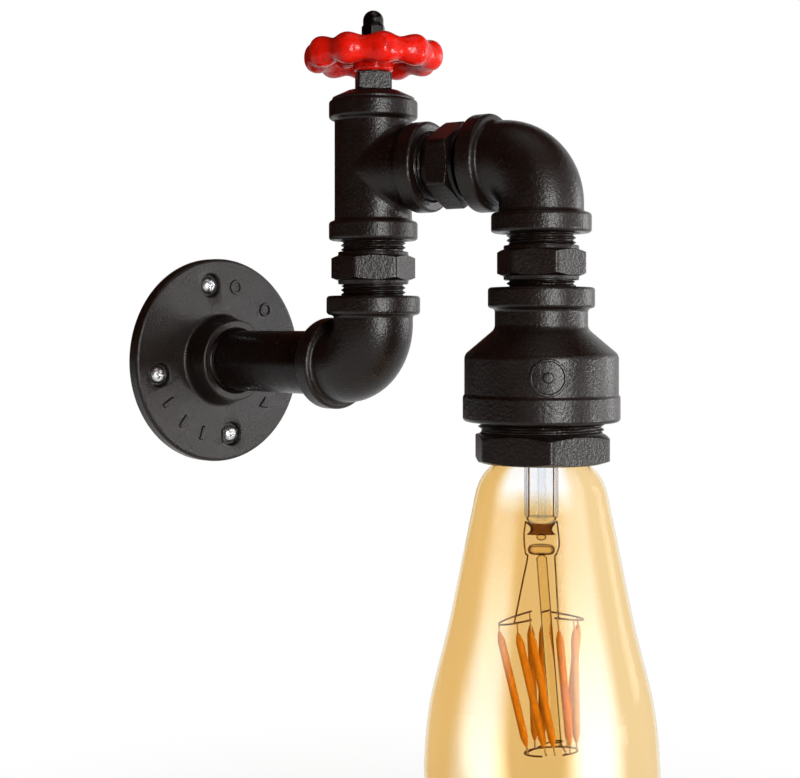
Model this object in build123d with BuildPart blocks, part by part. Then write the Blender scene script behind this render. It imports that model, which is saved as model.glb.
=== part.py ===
from build123d import *
from math import cos, pi, radians, sin, sqrt, tan
import os

# Industrial pipe wall light: a wall flange, a crooked run of screwed iron fittings, a lampholder in
# the last one, a straight-pear filament lamp, and a handwheel that turns a rotary switch.
# Frame: the origin is the centre of the flange's back face, the wall is the plane Y = 0, the room is
# towards -Y and +Z is up. All sizes are in millimetres.

# ---- Driving dimensions -------------------------------------------------------------------------

# Small pipe thread (3/4 inch, DN 20) and the pipe itself
thread_od = 26.4
thread_pitch = 1.814
thread_depth = 1.1
thread_len = 13.5          # length screwed into a socket
pipe_wall = 2.95
pipe_skin = 0.25           # the plain pipe stands this much outside the thread

# Large pipe thread (1 1/2 inch) of the reducer and the bushing
large_thread_od = 47.8
large_pitch = 2.31
large_depth = 1.3

# Fits
thread_fit = 0.05          # radial clearance of a thread in its socket
socket_spare = 0.6         # depth of a socket past the thread in it
mouth_chamfer = 1.0        # chamfer at the mouth of every socket
slip_fit = 0.05            # radial clearance of a shaft, bush or rivet
seat_gap = 0.3             # gap beside a piece that turns or lies loosely in its seat
cut_past = 1.0             # a cutting tool runs this far past a face

# Wall flange
flange_d = 91.8
flange_t = 6.0
flange_edge = 1.4
boss_base_wall = 6.9
boss_tip_wall = 4.8
boss_lip = 1.0             # boss past the end of the pipe's thread
boss_mouth = 2.0           # depth of the chamfer in the boss
tip_inset = 2.5            # thread's end behind the wall plane
screw_circle_d = 68.5
screw_count = 4
screw_turn = 10.0          # rotation of the screw circle, degrees
mark_height = 0.7          # raised casting marks: bars, two rings and a triangle
mark_bar = (6.5, 2.2)
mark_r = 3.4
mark_bore_r = 2.0
bars_from = -148.0
rings_from = 42.0
triangle_at = -40.0

# Wall screws
screw_shank_d = 4.0
screw_neck_step = 0.3      # the neck in the hole is this much thinner than the shank behind the wall
screw_hole_d = 5.2
screw_well_d = 10.6
screw_well_depth = 2.4
screw_head_d = 7.8
screw_head_h = 2.7
screw_edge = 0.6
screw_reach = 10.0         # behind the wall plane
screw_chamfer = 0.6
recess_w = 1.0
recess_depth = 1.6

# Pipe run
wall_pipe = 63.2           # plain pipe that shows between the flange and the elbow
bead_wall = 5.8
bead_w = 7.4
elbow_wall = 2.9
elbow_land = 1.1           # between the two threads at an elbow's inner corner
elbow_throat = 0.5         # inner radius of the bend
tee_bead_wall = 4.8
tee_wall = 2.5
tee_land = 1.7
edge_round = 0.9           # rounding of the beads
arm_swivel = 12.7          # the arm leaves the wall's square by this angle, degrees

# Hexagon nipples; show = thread that shows before and after the hexagon
hex_step = 1.8             # flats stand this far outside the thread
hex_len = 10.2
hex_chamfer = 1.0
collar_step = 1.1
collar_len = 1.5
column_show = (6.2, 6.1)
arm_show = (5.4, 5.35)
drop_show = (6.2, 4.2)
column_hex_turn = 19.5
arm_hex_turn = 0.0
drop_hex_turn = 0.8

# Reducing socket
reducer_bead_wall = 7.0
reducer_bead_w = 7.7
neck_wall = 4.4
neck_len = 8.0
cone_len = 9.8
bell_wall = 5.25
bell_len = 15.8
bell_bead_wall = 5.85
bell_bead_w = 9.5
bell_thread_len = 19.5
inner_cone_len = 7.3
ledge_w = 3.4              # ledge that the holder's gasket is pressed against
ledge_t = 4.0
pad_d = 14.0               # raised casting mark on the bell: a ring and a pip
pad_ring_w = 1.2
pad_pip_r = 2.0
pad_azimuth = 225.7

# Hexagon bushing
bushing_show = 4.5
bushing_hex_len = 11.0
bushing_chamfer = 1.4
bushing_flat_step = 0.1
bushing_hex_turn = 48.2
bushing_wall = 4.4

# Lampholder, seated between the reducer's shoulder and the bushing
gasket_t = 1.2
holder_flange_t = 4.0
holder_inset = 3.0         # rim above the bushing's mouth
holder_floor = 3.5
holder_head = 2.0          # floor's top above the reducer's shoulder
shell_t = 0.45
shell_pitch = 3.63
shell_depth = 0.6
shell_lift = 5.0           # shell's lower edge above the holder's rim
contact_t = 0.5
contact_pocket_d = 16.6
pocket_depth = 2.0
leaf_w = 5.0
leaf_past = 1.2            # leaf past the axis
leaf_tip_r = 2.4
holder_terminal = (6.0, 5.0, 6.0)
holder_terminal_r = 8.0
holder_screw_d = 3.0
holder_screw_past = 1.2
rivet_d = 2.0
contact_rivet_r = 6.0
shell_rivet_r = 9.8

# Lamp cap (27 mm screw cap) and bulb
cap_thread_d = 26.05
cap_t = 0.35
cap_depth = 0.7
cap_contact_d = 9.0
cap_contact_t = 1.5
cap_insulator_h = 3.0
cap_insulator_step = 0.6
cap_contact_edge = 1.5
cap_top_d = 22.0
cap_top_w = 2.0            # folded rim of the cap round its insulator
cap_thread_in = 1.5        # first crest below that rim
cap_band = 0.6
cap_len = 27.0
cap_skirt = 4.0
glass_t = 1.0
glass_lip = 0.2            # the neck widens from here, above the cap's skirt edge
neck_in_cap = 10.0
bulb_d = 89.2
bulb_belly = 120.0         # height of the widest place below the cap's skirt edge
shoulder = ((31.2, 3.6), (46.4, 12.0), (54.2, 27.4), (69.8, 65.6), (84.6, 96.4))

# Stem and filament cage
stem_d = 13.0
stem_t = 0.8
stem_len = 27.0            # below the cap's skirt edge
flare_len = 7.0
pinch_size = (12.4, 5.4, 6.5)
collar_d = 10.6
collar_h = 3.2
collar_edge = 0.7
collar_drop = 3.3
exhaust_d = 3.5
exhaust_t = 0.6
rod_d = 4.1
rod_len = 72.0
lead_d = 0.6
lead_spread = 4.7
lead_rise = 2.0            # inner leads above the stem's flare
lead_bows = (6.4, 6.8)     # how far the leads bulge beside the pinch, left and right
bow_drop = 3.5
lead_hip = 5.9
hip_drop = 1.2
lead_clear = 0.12
lead_round = 2.5
cage_lean = 4.0            # lean of the cage to its side, degrees
cage_tip = 6.0             # lean of the cage to its front, degrees
cage_azimuth = -44.0       # direction of its side; the pinch is wide that way too
cage_twist = 20.0
filament_angles = (-85, -38, -19, -170, 18, 44, 115, 173)
filament_top_r = 16.2
filament_foot_r = 10.3
filament_d = 2.8
filament_tip = 2.6
filament_len = 43.5
filament_top = 34.0        # first filament end below the pinch
tip_len = 3.0
bridge_d = 0.8
bridge_arcs = ((-17, -173), (14, 175))
bridge_legs = 6            # straight legs that an arc is rounded from
driver_size = (12.0, 1.2)

# Plug, switch and handwheel
plug_seat_d = 33.6
plug_rim = 0.8
plug_cone_d = 21.6
plug_cone_h = 3.8
plug_head_af = 13.8
plug_head_h = 11.4
plug_head_turn = 53.0
plug_wall = 2.6
plug_web = 1.0             # web's underside below the tee's face
shaft_d = 7.0
bush_wall = 1.7
bush_flange_d = 15.6
bush_flange_t = 1.2
switch_d = 16.0
switch_h = 13.5
switch_wall = 1.2
rotor_d = 12.4
switch_base_t = 2.0
switch_pin_d = 2.4
switch_pin_len = 3.0
switch_pin_r = 5.0
switch_pin_head = 1.0
wiper_t = 0.6
wiper_w = 3.0
wiper_past = 0.8
tag_t = 0.5
tag_w = 4.0
tag_root = 7.0
tag_lap = 1.0              # the tag's leg runs this far down beside its barrel
barrel_d = 2.6
barrel_len = 4.0
drive_af = 4.9
drive_short = 0.5          # square drive's end below the hub's top
stud_d = 4.8
stud_past = 2.0            # stud past the nut's hexagon
wheel_d = 57.0
wheel_h = 12.5
wheel_lobes = 10
wheel_turn = 21.0
wheel_spokes = 5
rim_tube_d = 7.6
spoke_w = 6.4
spoke_h = 5.2
hub_d = 17.0
hub_h = 12.7
washer_d = 11.5
washer_t = 1.0
nut_af = 9.0
nut_hex_h = 5.2
nut_h = 11.4
nut_chamfer = 0.8
nut_turn = 40.0
dome_step = 0.3
dome_sink = 0.5

# Wiring held in the run
wire_d = 2.4
wire_pitch = 5.5
block_inset = 14.0
block_len = 16.0
block_h = 9.5
tube_d = 4.2
tube_inset = 0.5
block_screw_d = 3.2
block_screw_in = 4.0       # screws from the block's ends
wire_in_block = 7.0
bend_wire_r = 14.0
sag = 3.7                  # the neutral runs this far under the switched live
earth_straight = 22.0      # the earth wire leaves its straight run this far below the arm's axis
earth_offset = 4.0         # and ends its sidestep this far below it
step_round = 8.0
splay_start = 6.0          # above the reducer's top: the two lamp wires start to part here
splay_end = 12.0           # below it: both are over their terminals
splay_round = 6.0
pin_round = 5.0

# ---- Derived sizes ------------------------------------------------------------------------------

thread_r = thread_od / 2
socket_r = thread_r + thread_fit
socket_depth = thread_len + socket_spare
bore_r = thread_r + pipe_skin - pipe_wall
pipe_r = thread_r + pipe_skin
large_r = large_thread_od / 2
large_socket_r = large_r + thread_fit

elbow_face = thread_len + thread_r + elbow_land
tee_face = thread_len + thread_r + tee_land
bend_r = socket_r + elbow_wall + elbow_throat
hex_af = thread_od + 2 * hex_step

boss_front = tip_inset + thread_len + boss_lip
reach = tip_inset + thread_len + wall_pipe + elbow_face
tee_z = elbow_face + sum(column_show) + hex_len + tee_face
tee_top = tee_z + tee_face
span = tee_face + sum(arm_show) + hex_len + elbow_face

column = Vector(0, -reach, 0)
arm_dir = Vector(sin(radians(arm_swivel)), -cos(radians(arm_swivel)), 0)
side_dir = Vector(cos(radians(arm_swivel)), sin(radians(arm_swivel)), 0)
drop = column + arm_dir * span
up = Vector(0, 0, 1)
down = Vector(0, 0, -1)

reducer_top = tee_z - elbow_face - sum(drop_show) - hex_len
reducer_len = reducer_bead_w + neck_len + cone_len + bell_len + bell_bead_w
reducer_foot = reducer_top - reducer_len
shoulder_z = reducer_foot + bell_thread_len
bushing_foot = reducer_foot - bushing_show - bushing_hex_len
bushing_af = large_thread_od + 2 * bushing_flat_step
bushing_bore_r = large_r - bushing_wall
holder_flange_top = shoulder_z - gasket_t
bushing_rim = holder_flange_top - holder_flange_t
holder_r = bushing_bore_r - 3 * seat_gap
holder_top = shoulder_z + holder_head
holder_ceiling = holder_top - holder_floor
holder_foot = bushing_foot + holder_inset

cap_r = cap_thread_d / 2
shell_r = cap_r + seat_gap
shell_out_r = shell_r + shell_depth + shell_t
shell_top = holder_ceiling - pocket_depth
contact_low = holder_ceiling - 2 * contact_t
cap_top = contact_low - seat_gap
cap_foot = cap_top - cap_len
glass_neck_r = cap_r - cap_depth - cap_t - slip_fit

web_z = tee_top - plug_web
switch_top = web_z - tag_t - bush_flange_t
switch_foot = switch_top - switch_h
head_top = tee_top + plug_head_h
bush_r = shaft_d / 2 + slip_fit + bush_wall
wheel_foot = head_top + seat_gap
wheel_z = wheel_foot + hub_h / 2
nut_foot = wheel_foot + hub_h + washer_t


# ---- Shared forms -------------------------------------------------------------------------------

def axis_plane(origin, direction):
    """Plane whose Y axis is `direction`: a turned profile is drawn on it as (radius, distance)."""
    along = Vector(*direction).normalized()
    side = Vector(1, 0, 0) if abs(along.X) < 0.9 else Vector(0, 1, 0)
    side = (side - along * side.dot(along)).normalized()
    return Plane(origin=tuple(origin), x_dir=tuple(side), z_dir=tuple(side.cross(along)))


def turned(profile, origin=(0, 0, 0), direction=(0, 0, 1)):
    """Solid of revolution from a closed list of (radius, distance) points."""
    plane = axis_plane(origin, direction)
    with BuildPart() as form:
        with BuildSketch(plane):
            with BuildLine():
                Polyline(*profile, close=True)
            make_face()
        revolve(axis=Axis(plane.origin, plane.y_dir))
    return form.part


def rod(radius, length, origin=(0, 0, 0), direction=(0, 0, 1)):
    """Plain cylinder from `origin` along `direction`."""
    return turned([(0, 0), (radius, 0), (radius, length), (0, length)], origin, direction)


def threads(radius, start, stop, pitch, depth):
    """Profile points of a thread's crests and roots from `start` to `stop`, as annular ridges."""
    count = int(abs(stop - start) / pitch)
    step = (stop - start) / count
    points = []
    for turn in range(count):
        points.append((radius - depth, start + turn * step))
        points.append((radius, start + (turn + 0.5) * step))
    points.append((radius - depth, stop))
    return points


def barrel_hex(flat, length, chamfer, turn=0.0):
    """Hexagonal prism from Z = 0 to `length`, its corners turned off at both ends."""
    corner = flat / sqrt(3)
    with BuildPart() as form:
        with BuildSketch():
            RegularPolygon(flat / 2, 6, major_radius=False, rotation=turn)
        extrude(amount=length)
        with BuildSketch(Plane.XZ):
            with BuildLine():
                Polyline((0, 0), (flat / 2 - chamfer / 2, 0), (corner, chamfer),
                         (corner, length - chamfer), (flat / 2 - chamfer / 2, length),
                         (0, length), close=True)
            make_face()
        revolve(axis=Axis.Z, mode=Mode.INTERSECT)
    return form.part


def socket_cut(origin, direction):
    """Threaded socket that opens at `origin` and goes in along `direction`."""
    return turned([(0, -mouth_chamfer), (socket_r + 2 * mouth_chamfer, -mouth_chamfer),
                   (socket_r, mouth_chamfer), (socket_r, socket_depth), (0, socket_depth)],
                  origin, direction)


def bead(radius, width, origin, direction):
    """Rounded band round the mouth of a fitting."""
    with BuildPart() as form:
        add(rod(radius, width, origin, direction))
        fillet(form.edges(), edge_round)
    return form.part


def elbow_form():
    """Elbow whose mouths face +Z and +Y, centred where the two axes meet."""
    mouths = ((Vector(0, 0, elbow_face), Vector(0, 0, -1)), (Vector(0, elbow_face, 0), Vector(0, -1, 0)))
    with BuildPart() as form:
        for radius, mode in ((socket_r + elbow_wall, Mode.ADD), (bore_r, Mode.SUBTRACT)):
            with BuildLine() as route:
                FilletPolyline((0, 0, elbow_face), (0, 0, 0), (0, elbow_face, 0), radius=bend_r)
            with BuildSketch(Plane.XY.offset(elbow_face)):
                Circle(radius)
            sweep(path=route.wire(), mode=mode)
            if mode == Mode.ADD:
                for mouth, inward in mouths:
                    add(bead(socket_r + bead_wall, bead_w, mouth, inward))
        for mouth, inward in mouths:
            add(socket_cut(mouth, inward), mode=Mode.SUBTRACT)
    return form.part


def tee_form():
    """Tee whose run is along Z and whose branch faces -Y, centred where the axes meet."""
    ways = ((0, 0, 1), (0, 0, -1), (0, -1, 0))
    with BuildPart() as form:
        for way in ways:
            add(rod(socket_r + tee_wall, tee_face, (0, 0, 0), way))
            mouth = Vector(*way) * tee_face
            add(bead(socket_r + tee_bead_wall, bead_w, mouth, Vector(*way) * -1))
        for way in ways:
            add(rod(bore_r, tee_face, (0, 0, 0), way), mode=Mode.SUBTRACT)
            add(socket_cut(Vector(*way) * tee_face, Vector(*way) * -1), mode=Mode.SUBTRACT)
    return form.part


def hex_nipple(show, turn):
    """Nipple along Z with its hexagon from Z = 0; `show` is the bare thread below and above."""
    low, high = show
    foot = -low - thread_len
    head = hex_len + high + thread_len
    collar_r = thread_r + collar_step
    profile = [(bore_r, foot)]
    profile += threads(thread_r, foot, -collar_len, thread_pitch, thread_depth)
    profile += [(collar_r, -collar_len), (collar_r, hex_len + collar_len)]
    profile += threads(thread_r, hex_len + collar_len, head, thread_pitch, thread_depth)
    profile += [(bore_r, head)]
    with BuildPart() as form:
        add(barrel_hex(hex_af, hex_len, hex_chamfer, turn))
        add(turned(profile))
        add(rod(bore_r, head - foot, (0, 0, foot)), mode=Mode.SUBTRACT)
    return form.part


def placed(shape, origin, z_dir=(0, 0, 1), x_dir=(1, 0, 0)):
    """Copy of `shape` with its own Z and X axes turned to the ones given."""
    return Plane(origin=tuple(origin), x_dir=tuple(x_dir), z_dir=tuple(z_dir)).location * shape


def wire(points, radii, radius=wire_d / 2):
    """Round wire along straight runs joined by tangent arcs."""
    with BuildPart() as form:
        with BuildLine() as route:
            if radii:
                FilletPolyline(*[tuple(p) for p in points], radius=radii)
            else:
                Polyline(*[tuple(p) for p in points])
        with BuildSketch(Plane(origin=route.wire() @ 0, z_dir=route.wire() % 0)):
            Circle(radius)
        sweep(path=route.wire())
    return form.part


def at_column(height):
    """Point on the column's axis at `height`."""
    return Vector(column.X, column.Y, height)


def at_drop(height, outward=0.0, sideways=0.0):
    """Point near the drop's axis: `outward` is along the arm, `sideways` is across it."""
    point = drop + arm_dir * outward + side_dir * sideways
    return Vector(point.X, point.Y, height)


# ---- Wall flange and its screws -----------------------------------------------------------------

room = (0, -1, 0)
wall = (0, 1, 0)
face_plane = Plane(origin=(0, -flange_t, 0), x_dir=(1, 0, 0), z_dir=(0, -1, 0))

with BuildPart() as wall_flange:
    add(turned([(socket_r, 0), (flange_d / 2, 0), (flange_d / 2, flange_t),
                (socket_r + boss_base_wall, flange_t), (socket_r + boss_tip_wall, boss_front),
                (socket_r + boss_mouth, boss_front), (socket_r, boss_front - boss_mouth)],
               (0, 0, 0), room))
    rim = wall_flange.edges().filter_by(GeomType.CIRCLE).sort_by(SortBy.RADIUS)[-2:]
    fillet(rim.sort_by(Axis.Y)[0], flange_edge)
    with BuildSketch(face_plane):
        with PolarLocations(screw_circle_d / 2, 4, start_angle=bars_from, angular_range=60):
            Rectangle(*mark_bar)
        with PolarLocations(screw_circle_d / 2, 2, start_angle=rings_from, angular_range=34):
            Circle(mark_r)
            Circle(mark_bore_r, mode=Mode.SUBTRACT)
        with PolarLocations(screw_circle_d / 2 - mark_bore_r, 1, start_angle=triangle_at):
            RegularPolygon(mark_r, 3)
    extrude(amount=mark_height)
    with Locations(face_plane):
        with PolarLocations(screw_circle_d / 2, screw_count, start_angle=90 + screw_turn):
            CounterBoreHole(screw_hole_d / 2, screw_well_d / 2, screw_well_depth)


def wall_screw():
    """Pan-head screw along Z: head above Z = 0, shank below, cross recess in the head."""
    web = flange_t - screw_well_depth
    tip = -web - screw_reach
    head_r = screw_head_d / 2
    shank_r = screw_shank_d / 2
    neck_r = shank_r - screw_neck_step
    with BuildPart() as form:
        with BuildSketch(Plane.XZ):
            with BuildLine():
                Polyline((0, screw_head_h), (0, tip), (shank_r - screw_chamfer, tip),
                         (shank_r, tip + screw_chamfer), (shank_r, -web), (neck_r, -web),
                         (neck_r, 0), (head_r, 0), (head_r, screw_edge))
                TangentArc((0, screw_head_h), (head_r, screw_edge), tangent=(1, 0))
            make_face()
        revolve(axis=Axis.Z)
        with BuildSketch(Plane.XY.offset(screw_head_h)):
            Rectangle(head_r, recess_w)
            Rectangle(recess_w, head_r)
        extrude(amount=-recess_depth, taper=12, mode=Mode.SUBTRACT)
    return form.part


with BuildPart() as wall_screws:
    for k in range(screw_count):
        turn = radians(90 + screw_turn + 360 * k / screw_count)
        spot = (screw_circle_d / 2 * cos(turn), screw_well_depth - flange_t, screw_circle_d / 2 * sin(turn))
        add(placed(wall_screw(), spot, z_dir=room))

# ---- Pipe run -----------------------------------------------------------------------------------

with BuildPart() as wall_nipple:
    pipe_start = tip_inset + thread_len
    pipe_end = pipe_start + wall_pipe
    outline = [(bore_r, tip_inset)]
    outline += threads(thread_r, tip_inset, pipe_start, thread_pitch, thread_depth)
    outline += [(pipe_r, pipe_start), (pipe_r, pipe_end)]
    outline += threads(thread_r, pipe_end, pipe_end + thread_len, thread_pitch, thread_depth)
    outline += [(bore_r, pipe_end + thread_len)]
    add(turned(outline, (0, 0, 0), room))

with BuildPart() as lower_elbow:
    add(placed(elbow_form(), column))

with BuildPart() as column_nipple:
    add(placed(hex_nipple(column_show, column_hex_turn), at_column(elbow_face + column_show[0])))

with BuildPart() as tee:
    add(placed(tee_form(), at_column(tee_z), x_dir=side_dir))

with BuildPart() as arm_nipple:
    start = at_column(tee_z) + arm_dir * (tee_face + arm_show[0])
    add(placed(hex_nipple(arm_show, arm_hex_turn), start, z_dir=arm_dir, x_dir=up))

with BuildPart() as upper_elbow:
    add(placed(elbow_form(), at_drop(tee_z), z_dir=down, x_dir=side_dir * -1))

with BuildPart() as drop_nipple:
    start = at_drop(tee_z - elbow_face - drop_show[0])
    add(placed(hex_nipple(drop_show, -drop_hex_turn), start, z_dir=down))

# ---- Reducing socket and bushing ----------------------------------------------------------------

with BuildPart() as reducer:
    neck_r = socket_r + neck_wall
    top_bead_r = socket_r + reducer_bead_wall
    bell_r = large_socket_r + bell_wall
    foot_bead_r = large_socket_r + bell_bead_wall
    neck_end = reducer_bead_w + neck_len
    cone_end = neck_end + cone_len
    inner_wide = large_socket_r - ledge_w
    shoulder_at = reducer_len - bell_thread_len
    with BuildSketch(axis_plane(at_drop(reducer_top), down)):
        with BuildLine():
            Polyline((0, 0), (neck_r, 0), (neck_r, neck_end), (bell_r, cone_end),
                     (bell_r, reducer_len), (0, reducer_len), close=True)
        make_face()
    revolve(axis=Axis(at_drop(0), up))
    add(bead(top_bead_r, reducer_bead_w, at_drop(reducer_top), down))
    add(bead(foot_bead_r, bell_bead_w, at_drop(reducer_foot), up))
    pad_way = Vector(cos(radians(pad_azimuth)), sin(radians(pad_azimuth)), 0)
    pad_z = reducer_top - cone_end - bell_len / 2
    with BuildPart(mode=Mode.PRIVATE) as pad:
        with BuildSketch(Plane(origin=tuple(at_drop(pad_z)), z_dir=tuple(pad_way))):
            Circle(pad_d / 2)
            Circle(pad_d / 2 - pad_ring_w, mode=Mode.SUBTRACT)
            Circle(pad_pip_r)
        extrude(amount=bell_r + 2 * mark_height)
        add(rod(bell_r + mark_height, bell_len, at_drop(reducer_top - cone_end), down), mode=Mode.INTERSECT)
    add(pad.part)
    add(socket_cut(at_drop(reducer_top), down), mode=Mode.SUBTRACT)
    add(turned([(0, 0), (bore_r, 0), (bore_r, shoulder_at - ledge_t - inner_cone_len),
                (inner_wide, shoulder_at - ledge_t), (inner_wide, shoulder_at),
                (large_socket_r, shoulder_at), (large_socket_r, reducer_len - mouth_chamfer),
                (large_socket_r + 2 * mouth_chamfer, reducer_len + mouth_chamfer),
                (0, reducer_len + mouth_chamfer)],
               at_drop(reducer_top), down), mode=Mode.SUBTRACT)

with BuildPart() as socket_bushing:
    add(placed(barrel_hex(bushing_af, bushing_hex_len, bushing_chamfer, bushing_hex_turn),
               at_drop(bushing_foot)))
    hex_top = bushing_foot + bushing_hex_len
    outline = [(bushing_bore_r, hex_top)]
    outline += threads(large_r, hex_top, bushing_rim, large_pitch, large_depth)
    outline += [(bushing_bore_r, bushing_rim)]
    add(turned(outline, at_drop(0), up))
    add(rod(bushing_bore_r, bushing_rim - bushing_foot, at_drop(bushing_foot), up),
        mode=Mode.SUBTRACT)

# ---- Lampholder ---------------------------------------------------------------------------------

flange_r = large_r - large_depth - seat_gap
cavity_r = shell_out_r + 2 * slip_fit

with BuildPart() as holder_gasket:
    add(turned([(inner_wide, bushing_rim + holder_flange_t), (flange_r, bushing_rim + holder_flange_t),
                (flange_r, shoulder_z), (inner_wide, shoulder_z)], at_drop(0), up))

with BuildPart() as holder_body:
    add(turned([(cavity_r, holder_foot), (holder_r, holder_foot), (holder_r, bushing_rim),
                (flange_r, bushing_rim), (flange_r, holder_flange_top),
                (inner_wide - 2 * seat_gap, holder_flange_top), (inner_wide - 2 * seat_gap, holder_top),
                (0, holder_top), (0, holder_ceiling), (contact_pocket_d / 2, holder_ceiling),
                (contact_pocket_d / 2, shell_top), (cavity_r, shell_top)], at_drop(0), up))
    for outward in (contact_rivet_r, -shell_rivet_r):
        add(rod(rivet_d / 2 + slip_fit, holder_top - shell_top + 2 * cut_past,
                at_drop(shell_top - cut_past, outward), up),
            mode=Mode.SUBTRACT)

with BuildPart() as holder_shell:
    shell_low = holder_foot + shell_lift
    ring_r = contact_pocket_d / 2 + seat_gap
    crest = shell_r + shell_depth
    count = int((shell_top - shell_t - shell_low) / shell_pitch)
    step = (shell_top - shell_t - shell_low) / count
    inner_line = []
    for turn in range(count):
        inner_line += [(shell_r, shell_low + turn * step), (crest, shell_low + (turn + 0.5) * step)]
    inner_line += [(shell_r, shell_top - shell_t)]
    outer_line = [(r + shell_t, z) for r, z in inner_line[:-1]]
    add(turned(inner_line + [(ring_r, shell_top - shell_t), (ring_r, shell_top),
                             (shell_r + shell_t, shell_top)] + outer_line[::-1], at_drop(0), up))
    add(rod(rivet_d / 2, holder_top - shell_top, at_drop(shell_top, -shell_rivet_r), up))

with BuildPart() as holder_contact:
    leaf_end = contact_pocket_d / 2 - 3 * seat_gap
    leaf_plane = Plane(origin=tuple(at_drop(holder_ceiling)), x_dir=tuple(arm_dir), z_dir=(0, 0, 1))
    with BuildSketch(leaf_plane):
        with Locations(((leaf_end - leaf_past) / 2, 0)):
            SlotOverall(leaf_end + leaf_past, leaf_w)
    extrude(amount=-contact_t)
    add(rod(leaf_tip_r, contact_t, at_drop(contact_low), up))
    add(rod(rivet_d / 2, holder_floor, at_drop(holder_ceiling, contact_rivet_r), up))

with BuildPart() as holder_terminals:
    for outward in (holder_terminal_r, -holder_terminal_r):
        spot = Plane(origin=tuple(at_drop(holder_top, outward)), x_dir=tuple(arm_dir), z_dir=(0, 0, 1))
        with BuildSketch(spot):
            Rectangle(holder_terminal[0], holder_terminal[1])
        extrude(amount=holder_terminal[2])
        middle = at_drop(holder_top + holder_terminal[2] / 2, outward)
        add(rod(holder_screw_d / 2 + slip_fit, holder_terminal[1] / 2 + cut_past, middle, side_dir),
            mode=Mode.SUBTRACT)

with BuildPart() as holder_screws:
    for outward in (holder_terminal_r, -holder_terminal_r):
        middle = at_drop(holder_top + holder_terminal[2] / 2, outward)
        add(rod(holder_screw_d / 2, holder_terminal[1] / 2 + holder_screw_past, middle, side_dir))

# ---- Lamp ---------------------------------------------------------------------------------------

shoulder_cap = cap_top - cap_contact_t - cap_insulator_h
thread_top = shoulder_cap - cap_thread_in
thread_foot = cap_foot + cap_skirt

with BuildPart() as bulb_contact:
    add(turned([(0, cap_top), (cap_contact_d / 2 - cap_contact_edge, cap_top),
                (cap_contact_d / 2, cap_top - cap_contact_t), (0, cap_top - cap_contact_t)],
               at_drop(0), up))

with BuildPart() as bulb_insulator:
    land = cap_top - cap_contact_t
    add(turned([(0, land), (cap_contact_d / 2 + cap_insulator_step, land),
                (cap_top_d / 2, shoulder_cap), (0, shoulder_cap)], at_drop(0), up))

with BuildPart() as bulb_cap:
    outside = [(cap_top_d / 2, shoulder_cap)]
    outside += threads(cap_r, thread_top, thread_foot, shell_pitch, cap_depth)
    outside += [(cap_r, thread_foot - cap_band), (cap_r, cap_foot)]
    inside = [(r - cap_t, z) for r, z in outside[1:]]
    rim_r = cap_top_d / 2 - cap_top_w
    inside = [(rim_r, shoulder_cap), (rim_r, shoulder_cap - cap_t)] + inside
    add(turned(outside + inside[::-1], at_drop(0), up))


def glass_outline(inset):
    """Half outline of the bulb, `inset` inside its outer face, from the neck to the axis."""
    neck_top = cap_foot + neck_in_cap
    belly_z = cap_foot - bulb_belly
    belly_r = bulb_d / 2 - inset
    lip_z = cap_foot + glass_lip
    curve = [(glass_neck_r - inset, lip_z)]
    curve += [(width / 2 - inset, cap_foot - depth) for width, depth in shoulder]
    curve += [(belly_r, belly_z)]
    with BuildSketch(axis_plane(at_drop(0), up)) as outline_sketch:
        with BuildLine():
            Line((0, neck_top), (glass_neck_r - inset, neck_top))
            Line((glass_neck_r - inset, neck_top), (glass_neck_r - inset, lip_z))
            Spline(*curve, tangents=[(0.4, -1), (0, -1)])
            ThreePointArc((belly_r, belly_z), (belly_r * sin(pi / 4), belly_z - belly_r * sin(pi / 4)),
                          (0, belly_z - belly_r))
            Line((0, belly_z - belly_r), (0, neck_top))
        make_face()
    return outline_sketch.sketch


with BuildPart() as bulb_glass:
    with BuildPart(mode=Mode.PRIVATE) as hollow:
        add(glass_outline(glass_t))
        revolve(axis=Axis(at_drop(0), up))
    add(glass_outline(0.0))
    revolve(axis=Axis(at_drop(0), up))
    add(hollow.part, mode=Mode.SUBTRACT)

stem_foot = cap_foot - stem_len
pinch_foot = stem_foot - pinch_size[2]
pinch_plane = Plane(origin=tuple(at_drop(stem_foot)), x_dir=(cos(radians(cage_azimuth)),
                    sin(radians(cage_azimuth)), 0), z_dir=(0, 0, 1))

with BuildPart() as bulb_stem:
    flare_r = glass_neck_r - glass_t - slip_fit
    stem_top = cap_foot + neck_in_cap
    add(turned([(flare_r, stem_top), (stem_d / 2, stem_top - flare_len), (stem_d / 2, stem_foot),
                (stem_d / 2 - stem_t, stem_foot), (stem_d / 2 - stem_t, stem_top - flare_len),
                (flare_r - stem_t, stem_top)], at_drop(0), up))
    with BuildSketch(pinch_plane):
        SlotOverall(pinch_size[0], pinch_size[1])
    extrude(amount=-pinch_size[2])
    add(rod(stem_d / 2, stem_t, at_drop(stem_foot), down))
    add(rod(pinch_size[1] / 2, collar_drop, at_drop(pinch_foot), down))
    collar_r = collar_d / 2
    add(turned([(0, 0), (collar_r - collar_edge, 0), (collar_r, collar_edge),
                (collar_r, collar_h - collar_edge), (collar_r - collar_edge, collar_h),
                (0, collar_h)], at_drop(pinch_foot - collar_drop), down))

with BuildPart() as bulb_exhaust:
    add(turned([(exhaust_d / 2 - exhaust_t, stem_foot), (exhaust_d / 2, stem_foot),
                (exhaust_d / 2, stem_top), (exhaust_d / 2 - exhaust_t, stem_top)], at_drop(0), up))

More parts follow.
